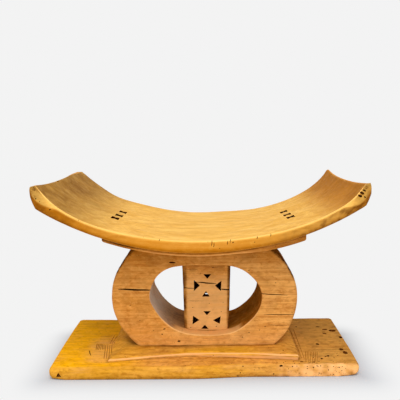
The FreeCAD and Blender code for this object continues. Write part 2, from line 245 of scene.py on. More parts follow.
def prism(outline, axis, near, far, farScale, finish):
    # a cutter: an outline in the plane across an axis, carried from near to far and narrowed
    sides = len(outline)
    clearSelection()
    bpy.ops.mesh.primitive_cylinder_add(vertices=sides, radius=1, depth=2)
    tool = bpy.context.active_object
    centre = np.mean(np.array(outline), 0)
    for vertex in tool.data.vertices:
        turn = math.atan2(vertex.co.x, vertex.co.y) / (2 * math.pi)
        corner = np.array(outline[round(turn * sides) % sides])
        atFar = vertex.co.z > 0
        scale = farScale if atFar else 1.0
        u, v = centre + (corner - centre) * scale
        depth = far if atFar else near
        vertex.co = Vector((u, v, depth) if axis == "z" else (u, depth, v)) * mm
    faceOutwards(tool)
    tool.data.materials.append(finish)
    return tool


def apart(first, second):
    return (first[0] > second[1]).any() or (second[0] > first[1]).any()


def carve(piece, tools):
    # cutters that stay clear of each other are taken out together
    groups = []
    for tool in tools:
        points = readPoints(tool)
        reach = (points.min(0), points.max(0))
        for group in groups:
            if all(apart(reach, other) for other in group["reaches"]):
                break
        else:
            group = {"tools": [], "reaches": []}
            groups.append(group)
        group["tools"].append(tool)
        group["reaches"].append(reach)
    for group in groups:
        cutOut(piece, group["tools"])


# A cut takes only small bits: a piece that lost more than this share of its faces was lost in it
cutTries = 5
keptShare = 0.5


def cutOut(piece, tools):
    clearSelection()
    for tool in tools:
        tool.select_set(True)
    cutter = tools[0]
    bpy.context.view_layer.objects.active = cutter
    if len(tools) > 1:
        bpy.ops.object.join()
    # Very rarely the solver gives back an empty piece: then the cut is made again.
    uncut = piece.data.copy()
    for attempt in range(cutTries):
        makeActive(piece)
        carving = piece.modifiers.new("Carving", "BOOLEAN")
        carving.operation = "DIFFERENCE"
        carving.solver = "EXACT"
        carving.use_hole_tolerant = attempt > 0
        carving.show_viewport = False
        carving.material_mode = "TRANSFER"
        carving.object = cutter
        bpy.ops.object.modifier_apply(modifier=carving.name)
        if len(piece.data.polygons) > keptShare * len(uncut.polygons):
            break
        print(piece.name, "was lost in a cut, which is made again")
        lost, name = piece.data, piece.data.name
        piece.data = uncut.copy()
        bpy.data.meshes.remove(lost)
        piece.data.name = name
    else:
        raise RuntimeError(piece.name + " could not be cut")
    bpy.data.meshes.remove(uncut)
    bpy.data.objects.remove(cutter)


# Material helpers

def colour(red, green, blue):
    # screen values 0..255 to the linear values that sockets take
    made = []
    for value in (red, green, blue):
        share = value / 255
        made.append(share / 12.92 if share <= 0.04045 else ((share + 0.055) / 1.055) ** 2.4)
    return (*made, 1.0)


def addNode(tree, kind, sockets=None, **settings):
    made = tree.nodes.new(kind)
    for name, value in settings.items():
        setattr(made, name, value)
    for name, value in (sockets or {}).items():
        if isinstance(value, bpy.types.NodeSocket):
            tree.links.new(value, made.inputs[name])
        else:
            made.inputs[name].default_value = value
    return made


def mixColour(tree, share, first, second):
    sockets = {0: share, 6: first, 7: second}
    return addNode(tree, "ShaderNodeMix", sockets, data_type="RGBA").outputs[2]


def calculate(tree, operation, first, second=0.5, clamp=False):
    made = addNode(tree, "ShaderNodeMath", {0: first, 1: second}, operation=operation, use_clamp=clamp)
    return made.outputs[0]


def ranged(tree, value, low, high, newLow=0.0, newHigh=1.0):
    sockets = {"Value": value, "From Min": low, "From Max": high, "To Min": newLow, "To Max": newHigh}
    return addNode(tree, "ShaderNodeMapRange", sockets, interpolation_type="SMOOTHSTEP").outputs[0]


def patternNoise(tree, place, stretch, detail=3.0, roughness=0.55, distortion=0.0):
    # stretch is the size of one patch along x, y and z, in mm
    scale = tuple(1 / (size * mm) for size in stretch)
    spot = addNode(tree, "ShaderNodeMapping", {"Vector": place, "Scale": scale}).outputs[0]
    sockets = {"Vector": spot, "Scale": 1.0, "Detail": detail}
    sockets.update({"Roughness": roughness, "Distortion": distortion})
    return addNode(tree, "ShaderNodeTexNoise", sockets).outputs["Fac"]


def newMaterial(name):
    material = bpy.data.materials.new(name)
    material.use_nodes = True
    tree = material.node_tree
    tree.nodes.clear()
    return material, tree


def finishSurface(tree, body, roughness, bump, gloss):
    # the surface itself, joined to the material's output
    sockets = {"Base Color": body, "Roughness": roughness}
    sockets.update({"Normal": bump.outputs[0], "Specular IOR Level": gloss})
    shader = addNode(tree, "ShaderNodeBsdfPrincipled", sockets)
    addNode(tree, "ShaderNodeOutputMaterial", {"Surface": shader.outputs[0]})


# The size of one patch of each pattern in the wood along x, y and z, in mm
patchSizes = {
    "drift": (240, 60, 60),
    "streaks": (95, 3.2, 3.2),
    "threads": (26, 0.75, 0.75),
    "clouds": (70, 34, 34),
    "patches": (24, 15, 15),
    "mottle": (11, 7, 7),
    "recess": (9, 3, 3),
}


def shaded(tree, body, pattern, low, high, depth, tone):
    # the body turned towards a tone where the pattern goes from low to high
    share = calculate(tree, "MULTIPLY", ranged(tree, pattern, low, high), depth)
    return mixColour(tree, share, body, tone)


def yearRings(tree, place, look):
    # the log's year rings, seen as long lines where the faces cut them
    drift = patternNoise(tree, place, patchSizes["drift"], 2.0)
    pith = addNode(tree, "ShaderNodeMapping", {"Vector": place, "Location": look["pith"]}).outputs[0]
    sideways, upwards = (calculate(tree, "MULTIPLY", drift, sway) for sway in look["pithSway"])
    sway = addNode(tree, "ShaderNodeCombineXYZ", {"X": 0.0, "Y": sideways, "Z": upwards}).outputs[0]
    bent = addNode(tree, "ShaderNodeVectorMath", {0: pith, 1: sway}, operation="ADD").outputs[0]
    sockets = {"Vector": bent, "Scale": look["ringScale"], "Distortion": 2.2}
    sockets.update({"Detail": 2.0, "Detail Scale": 1.4})
    settings = {"wave_type": "RINGS", "rings_direction": "X", "wave_profile": "SIN"}
    return addNode(tree, "ShaderNodeTexWave", sockets, **settings).outputs["Fac"]


def darkSpecks(tree, place, dusty, look):
    # small dark dots, which stand closer where the wood is dusty
    sockets = {"Vector": place, "Scale": look["speckScale"], "Randomness": 1.0}
    dots = addNode(tree, "ShaderNodeTexVoronoi", sockets, feature="F1")
    size = ranged(tree, dots.outputs["Distance"], 0.11, 0.06)
    lot = addNode(tree, "ShaderNodeSeparateColor", {"Color": dots.outputs["Color"]}).outputs[0]
    lot = calculate(tree, "ADD", lot, calculate(tree, "MULTIPLY", dusty, 0.3))
    picked = calculate(tree, "MULTIPLY", size, ranged(tree, lot, 0.72, 0.8))
    return calculate(tree, "MULTIPLY", picked, look["speckDepth"])


def woodFinish(name, look):
    # The block's grain runs along X. The attribute "wearAndPaintedLight" holds, at each point of a piece:
    # red = darkened by hands and soiling, and painted shade; green = worn pale, and painted highlights;
    # blue = dusty, alpha = amber polish, which on the ring also deepens painted shade.
    material, tree = newMaterial(name)
    place = addNode(tree, "ShaderNodeTexCoord").outputs["Object"]
    wearAndPaintedLight = addNode(tree, "ShaderNodeAttribute", attribute_name="wearAndPaintedLight", attribute_type="GEOMETRY")
    parts = addNode(tree, "ShaderNodeSeparateColor", {"Color": wearAndPaintedLight.outputs["Color"]})
    dark, paling, dusty = parts.outputs[0], parts.outputs[1], parts.outputs[2]
    amber = wearAndPaintedLight.outputs["Alpha"]
    rings = yearRings(tree, place, look)
    streaks = patternNoise(tree, place, patchSizes["streaks"], 4.0, 0.6)
    threads = patternNoise(tree, place, patchSizes["threads"], 2.0, 0.6)
    clouds = patternNoise(tree, place, patchSizes["clouds"], 3.0, 0.55, 0.4)
    patches = patternNoise(tree, place, patchSizes["patches"], 4.0, 0.6, 0.6)
    mottle = patternNoise(tree, place, patchSizes["mottle"], 4.0, 0.65, 0.5)

    body = mixColour(tree, ranged(tree, clouds, 0.32, 0.7), look["light"], look["middle"])
    polish = calculate(tree, "MULTIPLY", amber, ranged(tree, patches, 0.25, 0.6, look["amberLow"], 1.0))
    body = mixColour(tree, polish, body, look["amber"])
    # the grain shows less under amber polish
    gilded = calculate(tree, "MULTIPLY", amber, look["gilding"])
    streakDepth = calculate(tree, "MULTIPLY", calculate(tree, "SUBTRACT", 1.0, gilded), look["streakDepth"])
    body = shaded(tree, body, streaks, 0.42, 0.68, streakDepth, look["deep"])
    body = shaded(tree, body, rings, 0.45, 0.95, look["ringDepth"], look["deep"])
    body = shaded(tree, body, threads, 0.5, 0.75, look["fibreDepth"], look["deep"])
    body = shaded(tree, body, threads, 0.48, 0.25, look["fibreDepth"], look["fleck"])
    body = shaded(tree, body, mottle, 0.5, 0.68, look["mottleDepth"], look["deep"])
    body = shaded(tree, body, mottle, 0.48, 0.32, look["mottleDepth"], look["fleck"])
    body = mixColour(tree, gilded, body, look["amber"])

    # what use has left on it, and painted shade and painted highlights
    dustShare = calculate(tree, "MULTIPLY", dusty, ranged(tree, patches, 0.2, 0.75, 0.65, 1.0))
    body = mixColour(tree, dustShare, body, look["dust"])
    # the dark colour stands for soiling and for painted shade
    darkShare = calculate(tree, "MULTIPLY", dark, ranged(tree, patches, 0.25, 0.7, 0.6, 1.0), clamp=True)
    body = mixColour(tree, darkShare, body, look["grimeAndShade"])
    palingGrain = calculate(tree, "ADD", paling, calculate(tree, "MULTIPLY", streaks, 0.5))
    palingShare = calculate(tree, "MULTIPLY", ranged(tree, palingGrain, 0.35, 1.05), 0.9)
    body = mixColour(tree, palingShare, body, look["pale"])
    body = mixColour(tree, darkSpecks(tree, place, dusty, look), body, look["grimeAndShade"])

    height = calculate(tree, "MULTIPLY", streaks, 0.6)
    height = calculate(tree, "ADD", height, calculate(tree, "MULTIPLY", threads, 0.35))
    height = calculate(tree, "ADD", height, calculate(tree, "MULTIPLY", patches, 0.8))
    sockets = {"Height": height, "Strength": look["bump"], "Distance": look["bumpHeight"] * mm}
    bump = addNode(tree, "ShaderNodeBump", sockets)
    smoothest, roughest = look["roughness"] - 0.07, look["roughness"] + 0.08
    roughness = ranged(tree, patches, 0.25, 0.75, smoothest, roughest)
    roughness = calculate(tree, "ADD", roughness, calculate(tree, "MULTIPLY", palingShare, 0.15), clamp=True)
    finishSurface(tree, body, roughness, bump, look["gloss"])
    return material


def recessFinish(name, deep, edge):
    # the dark wood inside cuts, cracks and worm holes; in darkCut its near black is painted shade
    material, tree = newMaterial(name)
    place = addNode(tree, "ShaderNodeTexCoord").outputs["Object"]
    rough = patternNoise(tree, place, patchSizes["recess"], 4.0)
    body = mixColour(tree, ranged(tree, rough, 0.3, 0.75), deep, edge)
    bump = addNode(tree, "ShaderNodeBump", {"Height": rough, "Strength": 0.5, "Distance": 0.6 * mm})
    finishSurface(tree, body, 0.8, bump, 0.0)
    return material


def writeWearAndPaintedLight(piece, dark, paling, dusty, amber):
    values = np.stack([dark, paling, dusty, amber], 1).astype(np.float32)
    values = np.clip(values, 0, 1)
    layer = piece.data.color_attributes.new("wearAndPaintedLight", "FLOAT_COLOR", "POINT")
    layer.data.foreach_set("color", values.ravel())


# Camera, floor and light, first of all

viewSpot = {
    "place": (21.7, -979.8, 450.6),
    "pitch": 0.13854,
    "yaw": -0.02474,
    "roll": -0.01881,
    "lens": 45.0,
    "sensor": 36.0,
}


def makeCamera():
    camera = bpy.data.objects.new("viewCamera", bpy.data.cameras.new("viewCamera"))
    bpy.context.scene.collection.objects.link(camera)
    camera.data.lens = viewSpot["lens"]
    camera.data.sensor_width = viewSpot["sensor"]
    camera.data.dof.use_dof = False
    camera.data.clip_start = 0.01
    camera.data.clip_end = 100
    pitch, yaw, roll = viewSpot["pitch"], viewSpot["yaw"], viewSpot["roll"]
    ahead = Vector((math.sin(yaw) * math.cos(pitch), math.cos(yaw) * math.cos(pitch), -math.sin(pitch)))
    right = Vector((math.cos(yaw), -math.sin(yaw), 0))
    up = right.cross(ahead)
    turnedRight = right * math.cos(roll) + up * math.sin(roll)
    turnedUp = up * math.cos(roll) - right * math.sin(roll)
    turn = Matrix((turnedRight, turnedUp, -ahead)).transposed().to_4x4()
    camera.matrix_world = Matrix.Translation(Vector(viewSpot["place"]) * mm) @ turn
    bpy.context.scene.camera = camera


studio = {
    "backdrop": (243, 243, 243),
    "skyStrength": 0.5,
    "floorBounce": (232, 232, 232),
    "floorShade": (190, 195, 202),
    "shadowBox": ((-281, -114), (290, 70)),
    "shadowReach": 85.0,
    "shadowFade": 2.2,
    "floorSize": 60.0,
    "topLight": {"place": (100, -1900, 3500), "aim": (0, 0, 150), "size": 2.0, "power": 108},
    "frontLight": {"place": (200, -3600, 900), "aim": (0, 0, 180), "size": 2.2, "power": 27},
}


def areaLight(name, facts):
    lamp = bpy.data.lights.new(name, "AREA")
    lamp.shape = "SQUARE"
    lamp.size = facts["size"]
    lamp.energy = facts["power"]
    holder = bpy.data.objects.new(name, lamp)
    bpy.context.scene.collection.objects.link(holder)
    holder.location = Vector(facts["place"]) * mm
    way = Vector(facts["aim"]) * mm - holder.location
    holder.rotation_euler = way.to_track_quat("-Z", "Y").to_euler()


def seenDirectly(tree):
    # 1 for what the camera, or a mirror or glass, looks at
    path = addNode(tree, "ShaderNodeLightPath")
    shown = calculate(tree, "MAXIMUM", path.outputs["Is Camera Ray"], path.outputs["Is Glossy Ray"])
    return calculate(tree, "MAXIMUM", shown, path.outputs["Is Transmission Ray"])


def makeStudio():
    world = bpy.data.worlds.new("studioSky")
    world.use_nodes = True
    tree = world.node_tree
    tree.nodes.clear()
    backdrop = colour(*studio["backdrop"])
    white = (1, 1, 1, 1)
    lit = addNode(tree, "ShaderNodeBackground", {"Color": white, "Strength": studio["skyStrength"]})
    seen = addNode(tree, "ShaderNodeBackground", {"Color": backdrop, "Strength": 1.0})
    sockets = {0: seenDirectly(tree), 1: lit.outputs[0], 2: seen.outputs[0]}
    both = addNode(tree, "ShaderNodeMixShader", sockets)
    addNode(tree, "ShaderNodeOutputWorld", {"Surface": both.outputs[0]})
    bpy.context.scene.world = world

    clearSelection()
    bpy.ops.mesh.primitive_plane_add(size=studio["floorSize"])
    floor = bpy.context.active_object
    floor.name = "studioFloor"
    material, tree = newMaterial("studioFloor")
    place = addNode(tree, "ShaderNodeTexCoord").outputs["Object"]
    spot = addNode(tree, "ShaderNodeSeparateXYZ", {0: place})
    # the floor round the base gets a painted shadow: near a box about its foot it shows a diffuse colour
    # darker than the backdrop, which also takes the real shadows, fading out over shadowReach
    low, high = studio["shadowBox"]
    gaps = []
    for axis in (0, 1):
        middle = (low[axis] + high[axis]) / 2 * mm
        half = (high[axis] - low[axis]) / 2 * mm
        off = calculate(tree, "ABSOLUTE", calculate(tree, "SUBTRACT", spot.outputs[axis], middle))
        gap = calculate(tree, "MAXIMUM", calculate(tree, "SUBTRACT", off, half), 0.0)
        gaps.append(calculate(tree, "POWER", gap, 2.0))
    away = calculate(tree, "SQRT", calculate(tree, "ADD", *gaps))
    awayShare = calculate(tree, "DIVIDE", away, studio["shadowReach"] * mm)
    nearness = calculate(tree, "SUBTRACT", 1.0, awayShare, True)
    nearShare = calculate(tree, "POWER", nearness, studio["shadowFade"])
    bounce = addNode(tree, "ShaderNodeBsdfDiffuse", {"Color": colour(*studio["floorBounce"])})
    shade = addNode(tree, "ShaderNodeBsdfDiffuse", {"Color": colour(*studio["floorShade"])})
    glow = addNode(tree, "ShaderNodeEmission", {"Color": backdrop, "Strength": 1.0})
    sockets = {0: nearShare, 1: glow.outputs[0], 2: shade.outputs[0]}
    shown = addNode(tree, "ShaderNodeMixShader", sockets)
    sockets = {0: seenDirectly(tree), 1: bounce.outputs[0], 2: shown.outputs[0]}
    both = addNode(tree, "ShaderNodeMixShader", sockets)
    addNode(tree, "ShaderNodeOutputMaterial", {"Surface": both.outputs[0]})
    floor.data.materials.append(material)
    areaLight("topLight", studio["topLight"])
    areaLight("frontLight", studio["frontLight"])


makeCamera()
makeStudio()
view = bpy.context.scene.view_settings
view.view_transform = "Standard"
print("camera, floor and light made")


# Finishes

warmLook = {
    "light": colour(246, 196, 102),
    "middle": colour(236, 180, 82),
    "deep": colour(190, 120, 34),
    "amber": colour(206, 124, 12),
    "pale": colour(250, 196, 108),
    "fleck": colour(250, 200, 96),
    "dust": colour(148, 104, 42),
    "grimeAndShade": colour(104, 56, 8),
    "pith": (0.0, 0.16, 0.11),
    "pithSway": (0.045, 0.03),
    "ringScale": 26.0,
    "amberLow": 0.82,
    "gilding": 0.35,
    "ringDepth": 0.2,
    "streakDepth": 0.42,
    "fibreDepth": 0.22,
    "mottleDepth": 0.17,
    "speckScale": 75.0,
    "speckDepth": 0.3,
    "bump": 0.22,
    "bumpHeight": 0.6,
    "roughness": 0.45,
    "gloss": 0.01,
}
seatWood = woodFinish("seatWood", warmLook)
ringWood = woodFinish("ringWood", {
    **warmLook,
    "light": colour(242, 178, 98),
    "middle": colour(228, 160, 78),
    "deep": colour(172, 98, 30),
    "amber": colour(204, 122, 16),
    "pale": colour(246, 188, 118),
    "fleck": colour(244, 180, 96),
    "dust": colour(240, 226, 206),
    "grimeAndShade": colour(88, 46, 4),
    "amberLow": 0.6,
    "ringDepth": 0.2,
    "streakDepth": 0.52,
    "fibreDepth": 0.34,
    "mottleDepth": 0.5,
    "speckDepth": 0.6,
    "bump": 0.4,
    "roughness": 0.6,
    "gloss": 0.0,
})
baseWood = woodFinish("baseWood", {
    **warmLook,
    "light": colour(234, 168, 82),
    "middle": colour(220, 152, 64),
    "deep": colour(160, 92, 18),
    "amber": colour(252, 182, 0),
    "pale": colour(250, 188, 120),
    "fleck": colour(246, 180, 72),
    "dust": colour(200, 146, 68),
    "grimeAndShade": colour(90, 46, 8),
    "amberLow": 0.5,
    "ringDepth": 0.24,
    "streakDepth": 0.6,
    "fibreDepth": 0.34,
    "mottleDepth": 0.56,
    "speckScale": 95.0,
    "speckDepth": 0.8,
    "bump": 0.42,
    "roughness": 0.58,
    "gloss": 0.01,
})
# darkCut is near black: painted shade inside the cut slots, cracks, pits, piercings, worm holes and the
# column's hollow
darkCut = recessFinish("darkCut", colour(38, 12, 0), colour(82, 34, 4))
rottenCut = recessFinish("rottenCut", colour(74, 36, 6), colour(128, 76, 26))
engravedCut = recessFinish("engravedCut", colour(146, 88, 14), colour(184, 118, 28))
print("finishes made")


# Base board

baseBoard = {
    "half": (baseHigh[0], baseHigh[1]),
    "thickness": baseHigh[2],
    "leftSwell": 1.6,
    "leftSpan": (150, 285),
    "backCorner": 8.0,
    "frontCorner": 8.0,
    "frontSwell": 7.0,
    "frontSpan": (-90, 20),
    "sideRound": 2.5,
    "frontRound": 4.0,
    "frontTurn": (0.1, 0.8),
    "edgeFlatness": 0.1,
    "outward": (-0.8, 0.8),
    "footRound": 2.0,
    "footStill": 0.15,
    "cornerOver": {"left": (8.0, 7.0, 110.0), "right": (4.0, 5.0, 70.0)},
    "cornerUnder": {"left": (13.0, 12.0, 34.0), "right": (13.0, 12.0, 40.0)},
    "cells": (190, 78, 12),
    "edgeRows": (3, 5),
    "rimWidth": 9.0,
    "rimRows": 5,
    "drift": (70, 0.8),
    "ripple": (16, 0.25),
    "seed": 1,
}


def baseFront(across):
    # how far the board's front lies from the middle: it stands out a little on the left
    facts = baseBoard
    return facts["half"][1] + facts["frontSwell"] * smoothStep(-across, *facts["frontSpan"])


def makeBaseBoard():
    facts = baseBoard
    piece = slabBlock("baseBoard", *facts["cells"])

    def corner(across, along):
        return np.where(along < 0, facts["frontCorner"], facts["backCorner"])

    def upper(plan, way):
        small, large = facts["sideRound"], facts["frontRound"]
        size = small + (large - small) * smoothStep(-way[:, 1], *facts["frontTurn"])
        return *worn(plan, size, "cornerOver"), facts["edgeFlatness"]

    def lower(plan, way):
        return *worn(plan, np.full(len(plan), facts["footRound"]), "cornerUnder"), 0.0

    def worn(plan, size, where):
        # both front corners are worn away, the left one above and the right one underneath
        inset, drop = size.copy(), size.copy()
        for side, sign in (("left", -1), ("right", 1)):
            deep, tall, reach = facts[where][side]
            away = np.hypot(plan[:, 0] - sign * facts["half"][0], plan[:, 1] + facts["half"][1])
            near = np.clip(1 - away / reach, 0, 1) ** 1.5
            inset += deep * near
            drop += tall * near
        return inset, drop

    def ceiling(plan):
        return facts["thickness"] + facts["leftSwell"] * smoothStep(-plan[:, 0], *facts["leftSpan"])

    form = {
        **facts,
        "corner": corner,
        "upper": upper,
        "lower": lower,
        "floor": lambda plan: np.zeros(len(plan)),
        "ceiling": ceiling,
    }
    points, full = roundedSlab(piece, form)
    # the foot stays level
    free = smoothStep(full, 0.0, facts["footStill"])[:, None]
    points = handCut(points, facts, np.array([0.7, 1, 0.7]) * free, free)
    left, right = facts["outward"]
    points[:, 0] *= 1 + np.where(points[:, 0] < 0, left, right) / facts["half"][0]
    points = keepInBox(points, baseLow, baseHigh + [0, 0, facts["leftSwell"]])
    frontShare = np.clip(-points[:, 1] / facts["half"][1], 0, 1)
    points[:, 1] -= (baseFront(points[:, 0]) - facts["half"][1]) * frontShare
    writePoints(piece, points * mm)
    faceOutwards(piece)
    piece.data.materials.append(baseWood)
    return piece


# Step

step = {
    "half": (stepHigh[0], stepHigh[1]),
    "top": stepHigh[2],
    "waist": 7.0,
    "frontWaist": (-35.0, 75.0),
    "frontEnds": {"left": (23.0, 1.2), "right": (19.0, 1.3)},
    "slopeDrop": (5.5, 10.6),
    "slopeWidth": (22.0, 34.0),
    "slopeFade": 1.2,
    "leftSpan": (-110, 90),
    "frontSpan": (20, 60),
    "cornerRound": 4.0,
    "upperRound": (1.8, 1.5, 0.1),
    "lowerRound": (0.4, 0.4, 0.0),
    "drift": (60, 1.0),
    "ripple": (14, 0.28),
    "seed": 3,
    "sunk": 1.5,
    "cells": (140, 70, 8),
    "edgeRows": (1, 3),
    "rimWidth": 4.0,
    "rimRows": 4,
}


def stepFront(across):
    # how far the step's wavy front edge lies from the middle
    halfX = step["half"][0]
    place, reach = step["frontWaist"]
    leftOut, leftPower = step["frontEnds"]["left"]
    rightOut, rightPower = step["frontEnds"]["right"]
    left = leftOut * (np.abs(across - place) / (halfX + place)) ** leftPower
    right = rightOut * (np.abs(across - place) / (halfX - place)) ** rightPower
    return reach + np.where(across < place, left, right)


def makeStep():
    facts = step
    piece = slabBlock("plinthStep", *facts["cells"])
    halfX, halfY = facts["half"]

    def ceiling(plan):
        # the top falls away in a soft slope round its rim, furthest at the front left
        nearest = np.minimum(halfX - np.abs(plan[:, 0]), halfY - np.abs(plan[:, 1]))
        frontLeft = smoothStep(-plan[:, 0], *facts["leftSpan"]) * smoothStep(-plan[:, 1], *facts["frontSpan"])
        width, wider = facts["slopeWidth"]
        drop, deeper = facts["slopeDrop"]
        slope = np.clip(1 - nearest / (width + (wider - width) * frontLeft), 0, 1)
        return facts["top"] - (drop + (deeper - drop) * frontLeft) * slope ** facts["slopeFade"]

    form = {
        **facts,
        "corner": lambda across, along: np.full(len(across), facts["cornerRound"]),
        "upper": lambda plan, way: facts["upperRound"],
        "lower": lambda plan, way: facts["lowerRound"],
        "floor": lambda plan: np.full(len(plan), baseHigh[2] - facts["sunk"]),
        "ceiling": ceiling,
    }
    points = roundedSlab(piece, form)[0]
    drawIn = facts["waist"] * (1 - (points[:, 0] / halfX) ** 2)
    reach = np.where(points[:, 1] < 0, stepFront(points[:, 0]), halfY - drawIn)
    points[:, 1] *= reach / halfY
    points = handCut(points, facts, [1, 1, 0.6])
    low = np.array([stepLow[0], -stepFront(-halfX), baseHigh[2] - facts["sunk"]])
    points = keepInBox(points, low, stepHigh)
    writePoints(piece, points * mm)
    faceOutwards(piece)
    piece.data.materials.append(baseWood)
    return piece


# Seat ledge and seat share the seat's round underside

ledge = {
    "half": ((ledgeHigh[0] - ledgeLow[0]) / 2, ledgeHigh[1]),
    "middle": (ledgeHigh[0] + ledgeLow[0]) / 2,
    "thickness": 11.0,
    "cornerRound": 3.0,
    "upperRound": (0.5, 0.5, 0.0),
    "lowerRound": (3.0, 3.0, 0.0),
    "rightLowered": 5.0,
    "loweredSpan": (50, 150),
    "rightLonger": 3.0,
    "longerSpan": (120, 181),
    "sunk": 1.0,
    "drift": (60, 0.8),
    "ripple": (14, 0.2),
    "seed": 5,
    "cells": (120, 64, 10),
    "edgeRows": (4, 1),
    "rimWidth": 4.0,
    "rimRows": 4,
}
seat = {
    "half": (280.0, seatHigh[1]),
    "low": seatLow[2],
    "tip": 362.06,
    "thickness": 22.3,
    "endThickness": 38.7,
    "scoopDepth": 127.0,
    "scoopHalf": 288.0,
    "cornerRound": 4.0,
    "endHollow": 5.0,
    "endBelly": 6.4,
    "bellyFade": 1.4,
    "endLean": 1.5,
    "endStart": 235.0,
    "backRim": 4.0,
    "endRim": 2.0,
    "frontTurn": (0.3, 0.9),
    "endTurn": (0.4, 0.95),
    "rimBevel": (3.2, 13.0),
    "bevelSlope": 0.75,
    "bevelFlatness": (0.4, 0.8),
    "bevelSpan": (238, 281),
    "tipDrop": 19.0,
    "lowerRound": 7.0,
    "lowerEndRound": (21.0, 17.5),
    "lowerEndTurn": (0.2, 0.95),
    # the right side lies lower: by the first at mid depth, and by the second more at the back
    "rightLowered": (3.2, 2.4),
    "rightSpan": (30, 150),
    "rightEndSpan": (225, 280),
    "rightEndShare": 0.6,
    # and the right tip lower again, at its front and at its back
    "rightTipLowered": (4.2, 3.2),
    "rightTipSpan": (225, 282),
    "rightDropped": 2.4,
    "droppedSpan": (70, 170),
    # the left side rises towards its back, broadly and once more near the tip
    "leftRaised": (5.2, 8.0),
    "leftSpan": (15, 150),
    "leftFrontShares": (0.15, 0.3),
    "leftTipSpans": ((185, 255), (290, 262)),
    "drift": (80, 0.9),
    "ripple": (18, 0.2),
    "seed": 7,
    "cells": (210, 96, 16),
    "edgeRows": (6, 6),
    "rimWidth": 12.0,
    "rimRows": 7,
}
undersideRise = seat["tip"] - seat["endThickness"] - seat["low"]
undersideRadius = (seat["half"][0] ** 2 + undersideRise ** 2) / (2 * undersideRise)
sweepCentre = seat["low"] + undersideRadius


def sweepHeight(across, radius):
    return sweepCentre - np.sqrt(radius ** 2 - np.asarray(across) ** 2)


def undersideHeight(across):
    # the seat's underside, which hangs a little lower on its right
    dropped = seat["rightDropped"] * smoothStep(across, *seat["droppedSpan"])
    return sweepHeight(across, undersideRadius) - dropped


def scoopHeight(across, along):
    # an ellipse, hand-worked: its right side lies lower, and its left back rises towards the tip
    facts = seat
    halfX, halfY = facts["half"]
    across = np.clip(across, -halfX - 4, halfX + 4)
    rise = facts["scoopDepth"] * (1 - np.sqrt(1 - (across / facts["scoopHalf"]) ** 2))
    base, slant = facts["rightLowered"]
    atEnd = facts["rightEndShare"] * smoothStep(across, *facts["rightEndSpan"])
    lowered = (base + slant * along / halfY) * (smoothStep(across, *facts["rightSpan"]) - atEnd)
    back = (along / halfY + 1) / 2
    front, rear = facts["rightTipLowered"]
    lowered += (front * (1 - back) + rear * back ** 2) * smoothStep(across, *facts["rightTipSpan"])
    broad, near = facts["leftRaised"]
    broadShare, nearShare = facts["leftFrontShares"]
    rising, falling = facts["leftTipSpans"]
    raised = broad * smoothStep(-across, *facts["leftSpan"]) * (broadShare + (1 - broadShare) * back)
    atTip = smoothStep(-across, *rising) * smoothStep(-across, *falling)
    raised += near * atTip * (nearShare + (1 - nearShare) * back)
    return facts["low"] + facts["thickness"] + rise - lowered + raised


def rimFacet(across):
    # the front rim's worn bevel: how wide it is, how far it drops, and how flat it is
    facts = seat
    small, large = facts["rimBevel"]
    plainFlat, tipFlat = facts["bevelFlatness"]
    toTip = smoothStep(np.abs(across), *facts["bevelSpan"])
    width = small + (large - small) * toTip
    drop = width * facts["bevelSlope"]
    flat = plainFlat + (tipFlat - plainFlat) * toTip
    return width, drop + (facts["tipDrop"] - drop) * toTip, flat


def makeLedge():
    facts = ledge
    piece = slabBlock("seatLedge", *facts["cells"])
    outer = undersideRadius + facts["thickness"]
    middle = facts["middle"]

    def floor(plan):
        across = plan[:, 0] + middle
        return sweepHeight(across, outer) - facts["rightLowered"] * smoothStep(across, *facts["loweredSpan"])

    form = {
        **facts,
        "corner": lambda across, along: np.full(len(across), facts["cornerRound"]),
        "upper": lambda plan, way: facts["upperRound"],
        "lower": lambda plan, way: facts["lowerRound"],
        "floor": floor,
        "ceiling": lambda plan: undersideHeight(plan[:, 0] + middle) + facts["sunk"],
    }
    points = roundedSlab(piece, form)[0]
    points[:, 0] += middle
    points[:, 0] += facts["rightLonger"] * smoothStep(points[:, 0], *facts["longerSpan"])
    points = handCut(points, facts, [1, 1, 0.6])
    points = keepInBox(points, ledgeLow, ledgeHigh + [facts["rightLonger"], 0, 2 * facts["sunk"]])
    writePoints(piece, points * mm)
    faceOutwards(piece)
    piece.data.materials.append(ringWood)
    return piece


